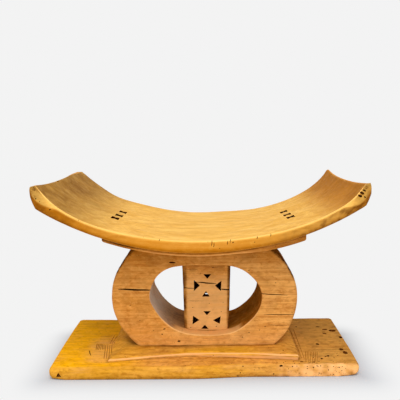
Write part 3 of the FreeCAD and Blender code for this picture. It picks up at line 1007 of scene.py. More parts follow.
def makeSeat():
    facts = seat
    piece = slabBlock("scoopedSeat", *facts["cells"])
    halfX, halfY = facts["half"]

    def upper(plan, way):
        # the front rim is worn to a bevel that widens at the tips
        front = smoothStep(-way[:, 1], *facts["frontTurn"])
        width, drop, flat = rimFacet(plan[:, 0])
        atEnd = smoothStep(np.abs(way[:, 0]), *facts["endTurn"])
        plain = facts["backRim"] + (facts["endRim"] - facts["backRim"]) * atEnd
        return plain + (width - plain) * front, plain + (drop - plain) * front, flat * front

    def lower(plan, way):
        atEnd = smoothStep(np.abs(way[:, 0]), *facts["lowerEndTurn"])
        wide, tall = facts["lowerEndRound"]
        inset = facts["lowerRound"] + (wide - facts["lowerRound"]) * atEnd
        rise = facts["lowerRound"] + (tall - facts["lowerRound"]) * atEnd
        return inset, rise, 0.0

    def bend(plan, full):
        # the ends are drawn in between their corners, and belly out below the tips
        across = np.abs(plan[:, 0])
        nearEnd = smoothStep(across, facts["endStart"], halfX)
        hollow = facts["endHollow"] * (1 - (plan[:, 1] / halfY) ** 2)
        belly = facts["endBelly"] * np.sin(math.pi * full ** facts["bellyFade"])
        lean = facts["endLean"] * (1 - full)
        shifted = across + nearEnd * (belly + lean - hollow)
        return np.column_stack([np.sign(plan[:, 0]) * shifted, plan[:, 1]])

    form = {
        **facts,
        "corner": lambda across, along: np.full(len(across), facts["cornerRound"]),
        "upper": upper,
        "lower": lower,
        "bend": bend,
        "floor": lambda plan: undersideHeight(plan[:, 0]),
        "ceiling": lambda plan: scoopHeight(plan[:, 0], plan[:, 1]),
    }
    points = roundedSlab(piece, form)[0]
    points = handCut(points, facts, [0.6, 0.8, 0.5])
    points = keepInBox(points, seatLow, seatHigh)
    writePoints(piece, points * mm)
    faceOutwards(piece)
    piece.data.materials.append(seatWood)
    return piece


# Ring

ring = {
    "middle": ((leftLimbLow[0] + rightLimbHigh[0]) / 2, 132.0),
    "half": ((rightLimbHigh[0] - leftLimbLow[0]) / 2, 141.5),
    "halfDepth": 55.0,
    "foot": stepHigh[2] - 1.0,
    "holeMiddle": (6.0, 131.0),
    "bulges": ((150, 42, 2.8), (-30, 24, 2.2), (34, 13, -3.0)),
    "edge": 2.0,
    "mouthEdge": 2.4,
    "drift": (55, 1.1),
    "ripple": (13, 0.28),
    "seed": 9,
    "flare": 3.0,
    "floorRise": 4.6,
    "flareReach": 25.0,
    "headSunk": 1.0,
    "footStill": 3.0,
    "spare": {"left": 3.0, "right": 1.0},
    "stations": (96, 76, 96, 92),
    "faceCells": 26,
    "wallCells": 26,
    "edgeCells": 4,
}
# The hole as carved: places round its front mouth, across and up, from the left downwards
holePlaces = [
    (-101.0, 131), (-92.2, 110), (-77.4, 88.8), (-56.9, 70.9), (-31.3, 60.6),
    (-5.4, 57.6), (33.7, 58.4), (62.4, 64.5), (85.7, 80.5), (103.8, 101),
    (113.0, 124), (113.0, 141), (104, 161.5), (88.9, 177.4), (71.1, 188.4),
    (48.2, 194.4), (9.8, 195), (-40.9, 194.6), (-61.6, 190.5), (-79.7, 181.2),
    (-95.0, 160),
]


def ringOutline(turn):
    # how far the ring's outside lies from the hole's middle in this direction, and which part it is
    facts = ring
    across, up = math.cos(turn), math.sin(turn)
    startX = facts["holeMiddle"][0] - facts["middle"][0]
    startZ = facts["holeMiddle"][1] - facts["middle"][1]
    halfX, halfZ = facts["half"]
    a = (across / halfX) ** 2 + (up / halfZ) ** 2
    b = 2 * (startX * across / halfX ** 2 + startZ * up / halfZ ** 2)
    c = (startX / halfX) ** 2 + (startZ / halfZ) ** 2 - 1
    outside = (-b + math.sqrt(b * b - 4 * a * c)) / (2 * a)
    for middle, width, amount in facts["bulges"]:
        off = (math.degrees(turn) - middle + 180) % 360 - 180
        outside += amount * math.exp(-(off / width) ** 2)
    choices = {"round": outside}
    if up < -0.01:
        choices["foot"] = (facts["foot"] - facts["holeMiddle"][1]) / up
    radius = undersideRadius + ledge["thickness"] - facts["headSunk"]
    drop = facts["holeMiddle"][1] - sweepCentre
    half = across * facts["holeMiddle"][0] + up * drop
    inside = half * half - facts["holeMiddle"][0] ** 2 - drop ** 2 + radius ** 2
    if up > 0 and inside > 0:
        choices["ledge"] = -half - math.sqrt(inside)
    kind = min(choices, key=choices.get)
    return choices[kind], kind


def holeReach():
    # a smooth closed curve through the hole's places: reach against direction
    middle = np.array(ring["holeMiddle"])
    away = np.array(holePlaces) - middle
    turns = np.unwrap(np.arctan2(away[:, 1], away[:, 0]))
    reach = np.hypot(away[:, 0], away[:, 1])
    full = 2 * math.pi
    turns = np.concatenate([turns - full, turns, turns + full])
    reach = np.tile(reach, 3)
    slopes = np.gradient(reach, turns)

    def reachAt(turn):
        turn = (turn + math.pi) % full + math.pi
        spot = int(np.clip(np.searchsorted(turns, turn) - 1, 0, len(turns) - 2))
        width = turns[spot + 1] - turns[spot]
        share = (turn - turns[spot]) / width
        square, cube = share ** 2, share ** 3
        first = (2 * cube - 3 * square + 1) * reach[spot] + (cube - 2 * square + share) * width * slopes[spot]
        last = (3 * square - 2 * cube) * reach[spot + 1] + (cube - square) * width * slopes[spot + 1]
        return first + last

    return reachAt


def cornerTurns():
    # the directions at which the outline passes between its round, its foot and the ledge
    steps, halvings = 720, 30
    turns = [2 * math.pi * (i / steps) - math.pi / 2 for i in range(steps + 1)]
    found = []
    for low, high in zip(turns, turns[1:]):
        lowKind, highKind = ringOutline(low)[1], ringOutline(high)[1]
        if lowKind == highKind:
            continue
        for _ in range(halvings):
            middle = (low + high) / 2
            if ringOutline(middle)[1] == lowKind:
                low = middle
            else:
                high = middle
        found.append(high)
    return found


def stationTurns():
    # evenly spaced along the outside, with a station on each of its four corners
    corners = cornerTurns()
    turns = []
    for number, count in enumerate(ring["stations"]):
        start = corners[number]
        finish = corners[(number + 1) % 4] + (2 * math.pi if number == 3 else 0)
        fine = np.linspace(start, finish, 400)
        reach = np.array([ringOutline(turn)[0] for turn in fine])
        spots = np.stack([reach * np.cos(fine), reach * np.sin(fine)], 1)
        gone = np.concatenate([[0], np.cumsum(np.linalg.norm(np.diff(spots, axis=0), axis=1))])
        turns += list(np.interp(np.linspace(0, gone[-1], count + 1)[:-1], gone, fine))
    return turns


def sectionLoop(length):
    # one closed loop round the ring's section: distance out from the hole, and depth
    facts = ring
    deep = facts["halfDepth"]
    sides = []
    for edge, start, finish in (
        (facts["edge"], (facts["mouthEdge"], -deep), (length - facts["edge"], -deep)),
        (facts["edge"], (length, facts["edge"] - deep), (length, deep - facts["edge"])),
        (facts["mouthEdge"], (length - facts["edge"], deep), (facts["mouthEdge"], deep)),
        (facts["mouthEdge"], (0, deep - facts["mouthEdge"]), (0, facts["mouthEdge"] - deep)),
    ):
        sides.append((edge, np.array(start), np.array(finish)))
    spots = []
    for number, (edge, start, finish) in enumerate(sides):
        cells = facts["faceCells"] if number % 2 == 0 else facts["wallCells"]
        for i in range(cells):
            spots.append(start + (finish - start) * i / cells)
        following = sides[(number + 1) % 4][1]
        way = (finish - start) / np.linalg.norm(finish - start)
        turned = following - finish - way * np.dot(following - finish, way)
        for i in range(facts["edgeCells"]):
            angle = i / facts["edgeCells"] * math.pi / 2
            ahead = way * np.dot(following - finish, way) * math.sin(angle)
            spots.append(finish + ahead + turned * (1 - math.cos(angle)))
    return spots


def makeRing():
    facts = ring
    turns = stationTurns()
    stations = len(turns)
    reachAt = holeReach()
    around = 2 * (facts["faceCells"] + facts["wallCells"]) + 4 * facts["edgeCells"]
    clearSelection()
    bpy.ops.mesh.primitive_torus_add(
        major_segments=stations, minor_segments=around, major_radius=1, minor_radius=0.3)
    piece = bpy.context.active_object
    piece.name = "carvedRing"
    piece.data.name = "carvedRing"
    unit = readPoints(piece)
    station = np.round(np.arctan2(unit[:, 1], unit[:, 0]) / (2 * math.pi) * stations).astype(int) % stations
    outFrom = np.hypot(unit[:, 0], unit[:, 1]) - 1
    spot = np.round(np.arctan2(unit[:, 2], outFrom) / (2 * math.pi) * around).astype(int) % around
    loops = []
    for turn in turns:
        near = reachAt(turn)
        far = ringOutline(turn)[0]
        way = np.array([math.cos(turn), math.sin(turn)])
        loop = []
        for out, deep in sectionLoop(far - near):
            x, z = np.array(facts["holeMiddle"]) + way * (near + out)
            # towards the back the hole's left wall flares a little, and its floor rises
            back = (deep / facts["halfDepth"] + 1) / 2 * max(0, 1 - out / facts["flareReach"])
            x -= facts["flare"] * back * max(0, -way[0]) ** 2
            z += facts["floorRise"] * back * max(0, -way[1]) ** 1.5
            loop.append((x, deep, z))
        loops.append(loop)
    points = np.array(loops)[station, spot]
    kept = points[:, 2].copy()
    points = handCut(points, facts, [0.9, 0.6, 0.9])
    seated = smoothStep(kept, facts["foot"] + facts["footStill"], facts["foot"])
    points[:, 2] = points[:, 2] * (1 - seated) + kept * seated
    low = [leftLimbLow[0] - facts["spare"]["left"], leftLimbLow[1], facts["foot"]]
    high = [rightLimbHigh[0] + facts["spare"]["right"], rightLimbHigh[1], leftLimbHigh[2] + facts["headSunk"]]
    writePoints(piece, keepInBox(points, low, high) * mm)
    faceOutwards(piece)
    piece.data.materials.append(ringWood)
    return piece


# Column

column = {
    "middle": (columnLow[0] + columnHigh[0]) / 2,
    "half": ((columnHigh[0] - columnLow[0]) / 2, (columnHigh[1] - columnLow[1]) / 2),
    "wall": 15.5,
    "foot": 52.0,
    "head": columnHigh[2] + 1.5,
    "headFlare": (2.5, 4.5),
    "flareFade": 1.5,
    "drift": (40, 0.8),
    "ripple": (11, 0.25),
    "seed": 11,
    "cornerRound": 3.5,
    "edgeRound": (0.2, 0.2, 0.0),
    "cells": (34, 28, 52),
    "edgeRows": (1, 1),
    "rimWidth": 3.5,
    "rimRows": 3,
}


def makeColumn():
    facts = column
    piece = slabBlock("piercedColumn", *facts["cells"])
    form = {
        **facts,
        "corner": lambda across, along: np.full(len(across), facts["cornerRound"]),
        "upper": lambda plan, way: facts["edgeRound"],
        "lower": lambda plan, way: facts["edgeRound"],
        "floor": lambda plan: np.full(len(plan), facts["foot"]),
        "ceiling": lambda plan: np.full(len(plan), facts["head"]),
    }
    points, full = roundedSlab(piece, form)
    # it widens a little towards its head
    left, right = facts["headFlare"]
    widen = np.where(points[:, 0] < 0, left, right) * full ** facts["flareFade"] / facts["half"][0]
    points[:, 0] += points[:, 0] * widen + facts["middle"]
    points = handCut(points, facts, [1, 0.8, 0], [1, 1, 0])
    writePoints(piece, points * mm)
    faceOutwards(piece)
    piece.data.materials.append(ringWood)
    return piece


# Cuts: what the carver cut, and what age has opened

def crack(start, finish, width, axis, near, far):
    # a long thin lens between two places, wavy, and dark inside with painted shade
    start, finish = np.array(start, float), np.array(finish, float)
    along = finish - start
    side = np.array([-along[1], along[0]]) / np.linalg.norm(along)
    upper, lower = [], []
    # how far along, how wide as a share of the width, and how far aside
    for alongShare, widthShare, aside in (
        (0.0, 0.25, 0.0), (0.22, 0.85, 0.35), (0.5, 1.0, -0.2), (0.78, 0.8, 0.3), (1.0, 0.3, 0.0),
    ):
        spot = start + along * alongShare + side * aside
        half = side * width * widthShare / 2
        upper.append(tuple(spot + half))
        lower.append(tuple(spot - half))
    return prism(upper + lower[::-1], axis, near, far, 1.0, darkCut)


def faceCracks(front, cracks):
    # cracks in an upright face: two places, width and depth of each
    start = front - 3
    return [crack(low, high, width, "y", start, front + deep) for low, high, width, deep in cracks]


def pit(place, size, finish, turn, seed):
    # a rough little hollow: a ball pressed out of round
    clearSelection()
    bpy.ops.mesh.primitive_ico_sphere_add(subdivisions=2, radius=1)
    tool = bpy.context.active_object
    points = readPoints(tool)
    rough = 1 + 0.3 * softNoise(points * 10, 9, seed + 3)[:, None]
    points = points * rough * np.array(size) / 2
    cosine, sine = math.cos(turn), math.sin(turn)
    spin = np.array([[cosine, 0, sine], [0, 1, 0], [-sine, 0, cosine]])
    writePoints(tool, (points @ spin + np.array(place)) * mm)
    tool.data.materials.append(finish)
    return tool


def wormHole(place, width, way, depth=5.0):
    # a small round bore along x, y or z
    clearSelection()
    bpy.ops.mesh.primitive_cylinder_add(vertices=7, radius=width / 2, depth=depth)
    tool = bpy.context.active_object
    points = readPoints(tool)
    if way == "y":
        points = points[:, [0, 2, 1]]
    if way == "x":
        points = points[:, [2, 1, 0]]
    writePoints(tool, (points + np.array(place)) * mm)
    faceOutwards(tool)
    tool.data.materials.append(darkCut)
    return tool


def facePits(front, firstSeed, pits):
    # small pits in an upright face, dark inside with painted shade: place, size and lean of each
    made = []
    for seed, (x, z, size, lean) in enumerate(pits, firstSeed):
        made.append(pit((x, front, z), size, darkCut, lean, seed))
    return made


def groove(start, finish, width, depth, top):
    # an engraved line: a shallow v cut down from a level top, from start to finish
    start, finish = np.array(start, float), np.array(finish, float)
    along = finish - start
    side = np.array([-along[1], along[0]]) / np.linalg.norm(along) * width / 2
    corners = [start + side, start - side, finish - side, finish + side]
    tool = prism([tuple(c) for c in corners], "z", top - depth, top + 1.5, 1.0, engravedCut)
    points = readPoints(tool) / mm
    low = points[:, 2] < top
    middle = (start + finish) / 2
    way = along / np.linalg.norm(along)
    off = points[:, :2] - middle
    ahead = (off @ way)[:, None] * way
    # the v keeps a narrow foot
    footShare = 0.15
    points[low, :2] = (middle + ahead + (off - ahead) * footShare)[low]
    writePoints(tool, points * mm)
    return tool


bowTie = {
    "halfLength": 6.5,
    "halfWidth": 9.4,
    "halfNeck": 5.4,
    "depth": 11.0,
    "above": 8.0,
    "flare": 1.12,
    "left": [(-159.2, 16.0), (-159.9, -22.5), (-162.0, -52.4)],
    "right": [(165.3, 21.3), (166.4, -18.2), (168.0, -51.3)],
}


def carveSeat(piece):
    facts = bowTie
    tools = []
    long, wide, neck = facts["halfLength"], facts["halfWidth"], facts["halfNeck"]
    for x, y in facts["left"] + facts["right"]:
        outline = [(-long, -wide), (0, -neck), (long, -wide), (long, wide), (0, neck), (-long, wide)]
        outline = [(x + u, y + v) for u, v in outline]
        top = scoopHeight(x, y)
        tools.append(prism(outline, "z", top - facts["depth"], top + facts["above"], facts["flare"], darkCut))
    # rot in the right tip's worn bevel
    front = -seat["half"][1]
    for seed, (x, z, long, tall) in enumerate((
        (266, 344.5, 7, 4.4), (271.5, 342, 7, 4.8), (268.5, 337, 6.4, 4.4),
        (275.5, 346, 5, 3), (275, 335.5, 4, 3),
    )):
        tools.append(pit((x, front + 6, z), (long, 14, tall), rottenCut, -0.5, seed))
    # chips on the rims and ends
    for seed, (x, y, z, size) in enumerate((
        (187.5, front, 297.5, 3.6), (120.5, front, 276.6, 2.8), (-98, front, 275.3, 3.4),
        (55.6, front, 262, 2.4), (-139, front + 1, 284, 2.4), (-204, front + 2, 305, 3.6),
        (160, front, 268, 2.6), (-70, front, 268, 2), (-276, -28, 358, 6), (276.5, 11, 354, 5.5),
        (-276, front + 2, 341, 3.4), (-270, front + 2, 336, 3), (-262, front + 2, 330, 2.6),
        (-252, front + 1, 323, 3), (33, front, 252, 1.8), (208, front + 1, 304, 3), (92, front, 262, 1.8),
    ), 20):
        shade = rottenCut if x < -240 else darkCut
        tools.append(pit((x, y, z), (size * 1.4, size, size * 0.8), shade, 0.4, seed))
    # short upright cracks in the front face
    for x, low, high in (
        (19.5, 256, 267), (23, 254, 262), (51, 261, 271), (46, 258, 265), (-69, 266, 271), (96, 267, 273),
        (-96, 272, 277), (119, 271, 277),
    ):
        tools.append(crack((x, low), (x + 1.0, high), 1.1, "y", front - 2, front + 3.5))
    for x, y, width in ((96, -20, 1.2), (-60, 30, 1.0), (118, 60, 1.3), (30, -95, 1.1), (-120, -70, 1.1)):
        tools.append(wormHole((x, y, scoopHeight(x, y)), width, "z"))
    carve(piece, tools)


piercings = {
    "upper": [
        [(2.0, 172.5), (17.4, 172.4), (9.7, 163.0)],
        [(-16.6, 161.4), (-17.0, 138.6), (-5.0, 149.9)],
        [(37.4, 159.2), (35.8, 138.0), (24.2, 149.2)],
        [(-1.2, 127.0), (13.8, 127.0), (6.7, 138.6)],
    ],
    "lower": [
        [(0.7, 97.4), (15.5, 97.2), (7.6, 89.0)],
        [(-19.8, 88.6), (-21.2, 70.4), (-7.2, 79.2)],
        [(35.0, 86.6), (32.9, 71.0), (19.2, 78.3)],
        [(-4.2, 61.0), (10.4, 60.8), (3.3, 69.6)],
    ],
    # the back wall's triangles are the same, set higher and opening outwards
    "backRise": {"upper": 2.0, "lower": 19.0},
    "backFlare": {"upper": 1.4, "lower": 1.5},
}


def carveColumn(piece):
    facts = column
    halfX, halfY = facts["half"]
    wall = facts["wall"]
    inX, inY = halfX - wall, halfY - wall
    corners = [(-inX, -inY), (inX, -inY), (inX, inY), (-inX, inY)]
    outline = [(facts["middle"] + u, v) for u, v in corners]
    carve(piece, [prism(outline, "z", facts["foot"] - 5, facts["head"] + 5, 1.0, darkCut)])
    tools = []
    for level in ("upper", "lower"):
        rise = piercings["backRise"][level]
        flare = piercings["backFlare"][level]
        for outline in piercings[level]:
            tools.append(prism(outline, "y", -halfY - 6, -halfY + wall + 3, 0.96, darkCut))
            raised = [(x, z + rise) for x, z in outline]
            tools.append(prism(raised, "y", halfY - wall - 3, halfY + 6, flare, darkCut))
    carve(piece, tools)
    front = -halfY
    tools = faceCracks(front, (
        ((-40, 145.8), (-15.5, 143.6), 1.5, 9),
        ((-11.5, 156.6), (27.5, 152.8), 2.6, 13),
        ((34.0, 141.8), (60, 140.0), 2.6, 13),
        ((-34, 182), (-8, 181.4), 0.6, 2),
        ((12, 187), (44, 186), 0.6, 2),
        ((-30, 118.6), (2, 118), 0.6, 2),
        ((-24, 58.4), (39, 57.9), 1.2, 4),
    ))
    tools += facePits(front, 41, (
        (21, 186, (4, 3, 1.6), 0.1),
        (-20, 105, (2, 3, 1.4), 0.1),
        (36, 96, (2, 3, 1.4), 0.1),
        (-25, 64, (2, 3, 1.6), 0.1),
        (26, 66, (2.4, 3, 1.6), 0.1),
    ))
    carve(piece, tools)


def carveRing(piece):
    front = -ring["halfDepth"]
    tools = faceCracks(front, (
        ((-162, 150.8), (-94, 147.8), 3.4, 26),
        ((104, 138.9), (163, 135.2), 1.6, 10),
        ((117, 97.0), (178, 96.5), 1.4, 8),
        ((125, 76), (162, 75), 1.0, 5),
    ))
    tools += facePits(front, 51, (
        (-56.3, 202.2, (13, 5, 3.2), -0.06),
        (-75.2, 69.7, (6, 4, 2.2), 0.2),
        (-79.4, 59.3, (4, 4, 2), 0),
        (-47.3, 44.8, (6.5, 4, 3.4), 0.2),
        (89.3, 185, (3, 4, 1.6), 0.8),
        (89, 61, (3.4, 4, 1.6), 0),
        (76, 52, (2.6, 4, 1.6), 0),
        (109, 66, (2.6, 4, 1.4), 0),
        (120, 73, (3, 4, 1.6), 0),
        (-122, 88, (2.2, 3, 1.6), 0),
        (-140, 118, (2, 3, 1.4), 0),
        (140, 160, (2, 3, 1.4), 0),
    ))
    # splintered shoulders
    for number, (x, deep, z, size) in enumerate((
        (-149.5, 4, 208, 9), (-156.5, 8, 197, 8), (-162, 3, 187, 6), (-154, 17, 201, 5), (-159.5, 22, 192, 4),
        (153.5, 5, 207, 9), (160, 9, 198, 8), (166.5, 3, 187, 7), (171, 6, 177, 5), (158, 20, 201, 5),
        (166, 17, 190, 5), (163, 31, 194, 4),
    )):
        lean = 1.05 if x < 0 else -1.0
        long = 16 + size * (1 + number % 3)
        tools.append(pit((x, front + deep, z), (size * 1.5, long, size * 0.62), rottenCut, lean, 70 + number))
    carve(piece, tools)


def carveStep(piece):
    front = -step["half"][1]
    tools = []
    for seed, (x, off, z, size) in enumerate((
        (-137, 5, 32.5, (8, 5, 3.2)),
        (-131, 6, 33, (4, 3, 2)),
        (152, 12, 34, (2.6, 2.6, 3)),
        (60, 14, 35.5, (2.2, 2.2, 3)),
        (168, 3, 31, (3, 3, 3)),
        (120, 16, 36.5, (2, 2, 2.4)),
    ), 81):
        tools.append(pit((x, front + off, z), size, darkCut, 0, seed))
    carve(piece, tools)


engraving = {
    "depth": 1.0,
    "width": 1.7,
    # each set: its first and last line, as two places each, and how many lines
    "sets": [
        (((-217, -17), (-213, -45)), ((-202, -17), (-198, -45)), 6),
        (((-199, -22), (-188, -84)), ((-186, -22), (-175, -84)), 4),
        (((-190, -16), (-190, 24)), ((-182, -14), (-178, 20)), 3),
        (((-219, 19), (-193, 19)), ((-215, 2), (-191, 2)), 3),
        (((197, -60), (189, -103)), ((219, -60), (211, -103)), 8),
        (((184, -88), (185, 50)), ((190, -88), (191, 50)), 2),
    ],
}


def carveBase(piece):
    facts = baseBoard
    top = facts["thickness"]
    front = -facts["half"][1]
    random.seed(7)
    tools = [
        crack((201, -53.5), (288, -51.5), 1.2, "z", top - 5, top + 4),
        crack((-226, -48), (-217, -72), 1.8, "z", top - 3, top + 4),
        pit((272, 40, top), (17, 12, 4.4), rottenCut, 0.1, 87),
    ]
    for x, y, size, seed in (
        (258, 47, (12, 7, 2.4), 88),
        (253, 25, (8, 6, 2.4), 89),
        (268, -52, (9, 10, 3.4), 90),
        (272, -66, (9, 13, 3.8), 101),
    ):
        tools.append(pit((x, y, top), size, rottenCut, 0, seed))
    for x, y, off, size, seed in (
        (236, -79, 0, (5, 6, 2.4), 102),
        (222, -90, 0, (6, 5, 2.4), 103),
        (204, -104, 0, (6, 4, 2.8), 104),
        (246, 62, 0, (9, 4, 1.8), 105),
        (200, 64, 0, (5, 4, 1.8), 106),
        (281, 6, 0, (7, 12, 6), 91),
        (284.5, 30, -4, (6, 22, 6), 92),
        (284.5, -62, -4, (7, 26, 7), 93),
        (227, -26.6, 0, (7, 8, 2.4), 94),
        (231, -80.5, 0, (4, 4, 3), 95),
        (182.5, -101.6, 0, (6.5, 3.4, 4), 96),
        (143, front + 1.5, -2.5, (7, 5, 3.4), 97),
        (64, 1 - baseFront(64), 3 - top, (7, 4, 2.4), 98),
        (250, 28, 0, (3, 3, 3), 99),
    ):
        tools.append(pit((x, y, top + off), size, darkCut, 0, seed))
    # a notch in the front, near the left corner
    notch = [(-272, 5.5), (-259, 5.5), (-266, 17)]
    corner = -baseFront(-266)
    tools.append(prism(notch, "y", corner - 3, corner + 4, 0.4, rottenCut))
    # worm holes, thickest at the front right
    rightmost, reach, faceShare = 262, 200, 0.55
    for _ in range(90):
        x = rightmost - reach * random.random() ** 1.3
        share = random.random()
        width = 1.1 + 1.5 * random.random() ** 2
        face = -baseFront(x)
        if share < faceShare:
            tools.append(wormHole((x, face, 4 + 17 * random.random()), width, "y"))
        else:
            tools.append(wormHole((x, face + 5 + 50 * random.random() ** 2, top), width, "z"))
    # and a few in the open ends of the top
    for _ in range(16):
        x, y = -270 + 540 * random.random(), front + 6 + 200 * random.random()
        if abs(x) > 185:
            tools.append(wormHole((x, y, top), 0.8 + 0.7 * random.random(), "z"))
    carve(piece, tools)

    facts = engraving
    tools = []
    for first, last, count in facts["sets"]:
        first, last = np.array(first, float), np.array(last, float)
        for i in range(count):
            near, far = first + (last - first) * i / (count - 1)
            sway = 0.8 * math.sin(2.3 * i + near[0])
            tools.append(groove(near + sway, far - sway, facts["width"], facts["depth"], top))
    carve(piece, tools)


# What use, dust and polish have left, and painted shade and painted highlights, by place

def paintSeat(piece):
    points = readPoints(piece) / mm
    x, y, z = points.T
    below = scoopHeight(x, y) - z
    fromFront = y + seat["half"][1]
    width, drop = rimFacet(x)[:2]
    # a place on the facet lies within its width, and no lower than its drop
    facet = smoothStep(fromFront, width + 0.8, width - 0.4) * smoothStep(below, drop + 1.5, drop - 1.5)
    onTop = smoothStep(below, 3.0, 0.5) * (1 - facet)
    frontFace = smoothStep(fromFront, 5, 1.5) * (1 - facet)
    other = (1 - onTop) * (1 - frontFace) * (1 - facet)
    lowFace = smoothStep(below, 9, 20)
    atTip = smoothStep(np.abs(x), 240, 276)
    leftHalf, leftEnd = smoothStep(-x, 90, 250), smoothStep(-x, 130, 262)
    rightHalf, rightEnd = smoothStep(x, 20, 240), smoothStep(x, 190, 270)
    rough = softNoise(points, 45, 3)
    fine = softNoise(points, 8, 4)
    # a dark patch on the scoop's left end
    patch = smoothStep(np.hypot((x + 250) / 30, (y - 30) / 80), 1.2, 0.1)
    # the line where the scoop meets the facet is worn pale, and carries a painted highlight
    rimWearAndHighlight = smoothStep(np.abs(fromFront - width), 2.2, 1.0) * smoothStep(below, 3.5, 1.5)

    dusty = onTop * (leftEnd * (0.95 + 0.3 * rough) + 0.5 * rightEnd) + 0.8 * facet * atTip
    dusty += frontFace * smoothStep(x, 70, 200) * (0.3 + 0.3 * fine)
    amber = 0.95 * onTop * rightEnd + 0.5 * other
    amber += frontFace * (0.72 + 0.28 * leftEnd - 0.36 * rightHalf + 0.4 * lowFace)
    paling = np.maximum(0.75 * rimWearAndHighlight, facet * (0.4 - 0.3 * atTip))
    dark = onTop * (0.16 * leftEnd + rightEnd * (0.16 + 0.3 * rough) + 0.3 * patch) + 0.12 * other
    dark += 0.55 * facet * atTip * smoothStep(fine, 0.12, 0.4)
    dark += frontFace * smoothStep(x, 100, 240) * (0.15 + 0.5 * smoothStep(fine, -0.05, 0.35))
    dark += frontFace * leftHalf * (0.3 + 0.3 * smoothStep(rough, -0.1, 0.4))
    dark += frontFace * (0.05 + 0.34 * lowFace + 0.14 * leftEnd + 0.1 * smoothStep(x, 60, 200))
    writeWearAndPaintedLight(piece, dark, paling, dusty, amber)


def paintLedge(piece):
    points = readPoints(piece) / mm
    x, y, z = points.T
    bottom = sweepHeight(x, undersideRadius + ledge["thickness"])
    face = smoothStep(-y, 120, 126)
    low = smoothStep(z - bottom, 6, 2)
    middle = smoothStep(np.abs(x), 170, 60)
    paling = 0.4 * face * low * middle
    # painted shade: darker off its front face, and on that face under the seat above it; it is also darker
    # towards its ends
    dark = 0.5 * (1 - face) + face * (0.1 + 0.7 * (1 - low) + 0.45 * (1 - middle))
    writeWearAndPaintedLight(piece, dark, paling, np.zeros(len(x)), np.full(len(x), 0.6))


def paintRing(piece):
    points = readPoints(piece) / mm
    x, y, z = points.T
    middleX, middleZ = ring["holeMiddle"]
    reachAt = holeReach()
    directions = np.linspace(-math.pi, math.pi, 721)
    turns = np.arctan2(z - middleZ, x - middleX)
    near = np.interp(turns, directions, [reachAt(turn) for turn in directions])
    far = np.interp(turns, directions, [ringOutline(turn)[0] for turn in directions])
    away = np.hypot(x - middleX, z - middleZ) - near
    toRim = far - near - away
    inside = smoothStep(away, 4, 0.5) * smoothStep(ring["halfDepth"] - np.abs(y), 0.3, 2.5)
    outside = 1 - inside
    left = smoothStep(middleX - x, 20, 70)
    low = smoothStep(z, 118, 66)
    rough = softNoise(points, 30, 6)
    # the hole's floor in front of the column is worn pale; the hole's lower front edge is worn pale too and
    # carries a painted highlight
    doorstep = inside * smoothStep(-y, 30, 38) * smoothStep(z, 76, 66)
    mouth = smoothStep(np.abs(away - 1.0), 2.0, 0.4) * smoothStep(-y, 52, 54.5) * smoothStep(z, 130, 85)
    # soiling keeps to the outer rim and the shoulders, and beside the left foot, where it lies with a painted
    # shadow; the crown has painted shade under the seat, darkest just under the ledge
    shoulder = smoothStep(z, 160, 178) * smoothStep(z, 218, 205)
    rimDirt = smoothStep(toRim, 5, 0.5) * (0.15 + 0.4 * rough)
    rimDirt += smoothStep(toRim, 4.5, 1.5) * shoulder * (0.55 + 0.5 * rough)
    besideFoot = smoothStep(toRim, 7, 1) * smoothStep(z, 80, 50) * smoothStep(-x, 80, 110)
    underLedge = smoothStep(toRim, 6, 1) * smoothStep(z, 196, 216)
    darkening = 0.46 * smoothStep(z, 160, 240) + 0.6 * underLedge + 0.16 * smoothStep(rough, 0.05, 0.4)
    darkening += np.clip(rimDirt, 0, 1) + 0.4 * besideFoot

    # inside the hole the left wall is dusty; both walls get painted shade, the right one dark amber all over
    # and the left one towards its foot
    dusty = inside * left * (1 - 0.75 * low)
    amber = 0.9 * inside * (1 - left)
    # amber on the left side, and deeper amber on the crown with its painted shade
    amber += outside * (0.3 * smoothStep(x, 40, -150) + 0.5 * smoothStep(z, 185, 225))
    dark = inside * (left * (0.03 + 0.5 * low) + (1 - left) * (0.54 + 0.1 * rough)) * (1 - doorstep)
    dark += outside * darkening
    paling = np.maximum(0.7 * mouth, 0.6 * doorstep)
    paling = np.maximum(paling, 0.25 * outside * smoothStep(z, 100, 50))
    writeWearAndPaintedLight(piece, dark, paling, dusty * (1 - doorstep), amber * (1 - doorstep))


def paintColumn(piece):
    points = readPoints(piece) / mm
    x, y, z = points.T
    halfX, halfY = column["half"]
    offMiddle = x - column["middle"]
    cavity = (np.abs(offMiddle) < halfX - column["wall"] + 1) & (np.abs(y) < halfY - 2.5)
    # painted shade: darker at the head under the crown, on the sides and along both upright edges, and
    # darkest in the hollow; the lit front face is painted paler; darker towards the foot too, and amber
    # deepens towards the head
    top = smoothStep(z, 145, 196)
    side = smoothStep(halfY - np.abs(y), 1, 5)
    leftEdge = smoothStep(offMiddle + halfX, 7.0, 3.5)
    rightEdge = 0.85 * smoothStep(halfX + 3 * top - offMiddle, 4.5, 2.0)
    rough = softNoise(points, 16, 15)
    dark = 0.2 * top + 0.45 * side + leftEdge * (0.8 + 0.5 * rough) + rightEdge
    dark += 0.2 * smoothStep(rough, 0.05, 0.4) + 0.2 * smoothStep(z, 62, 57)
    paling = 0.5 * (1 - top) * (1 - side) * (1 - leftEdge) * (1 - rightEdge)
    writeWearAndPaintedLight(piece, np.where(cavity, 1.0, dark), paling, np.zeros(len(x)), 0.12 + 0.2 * top)


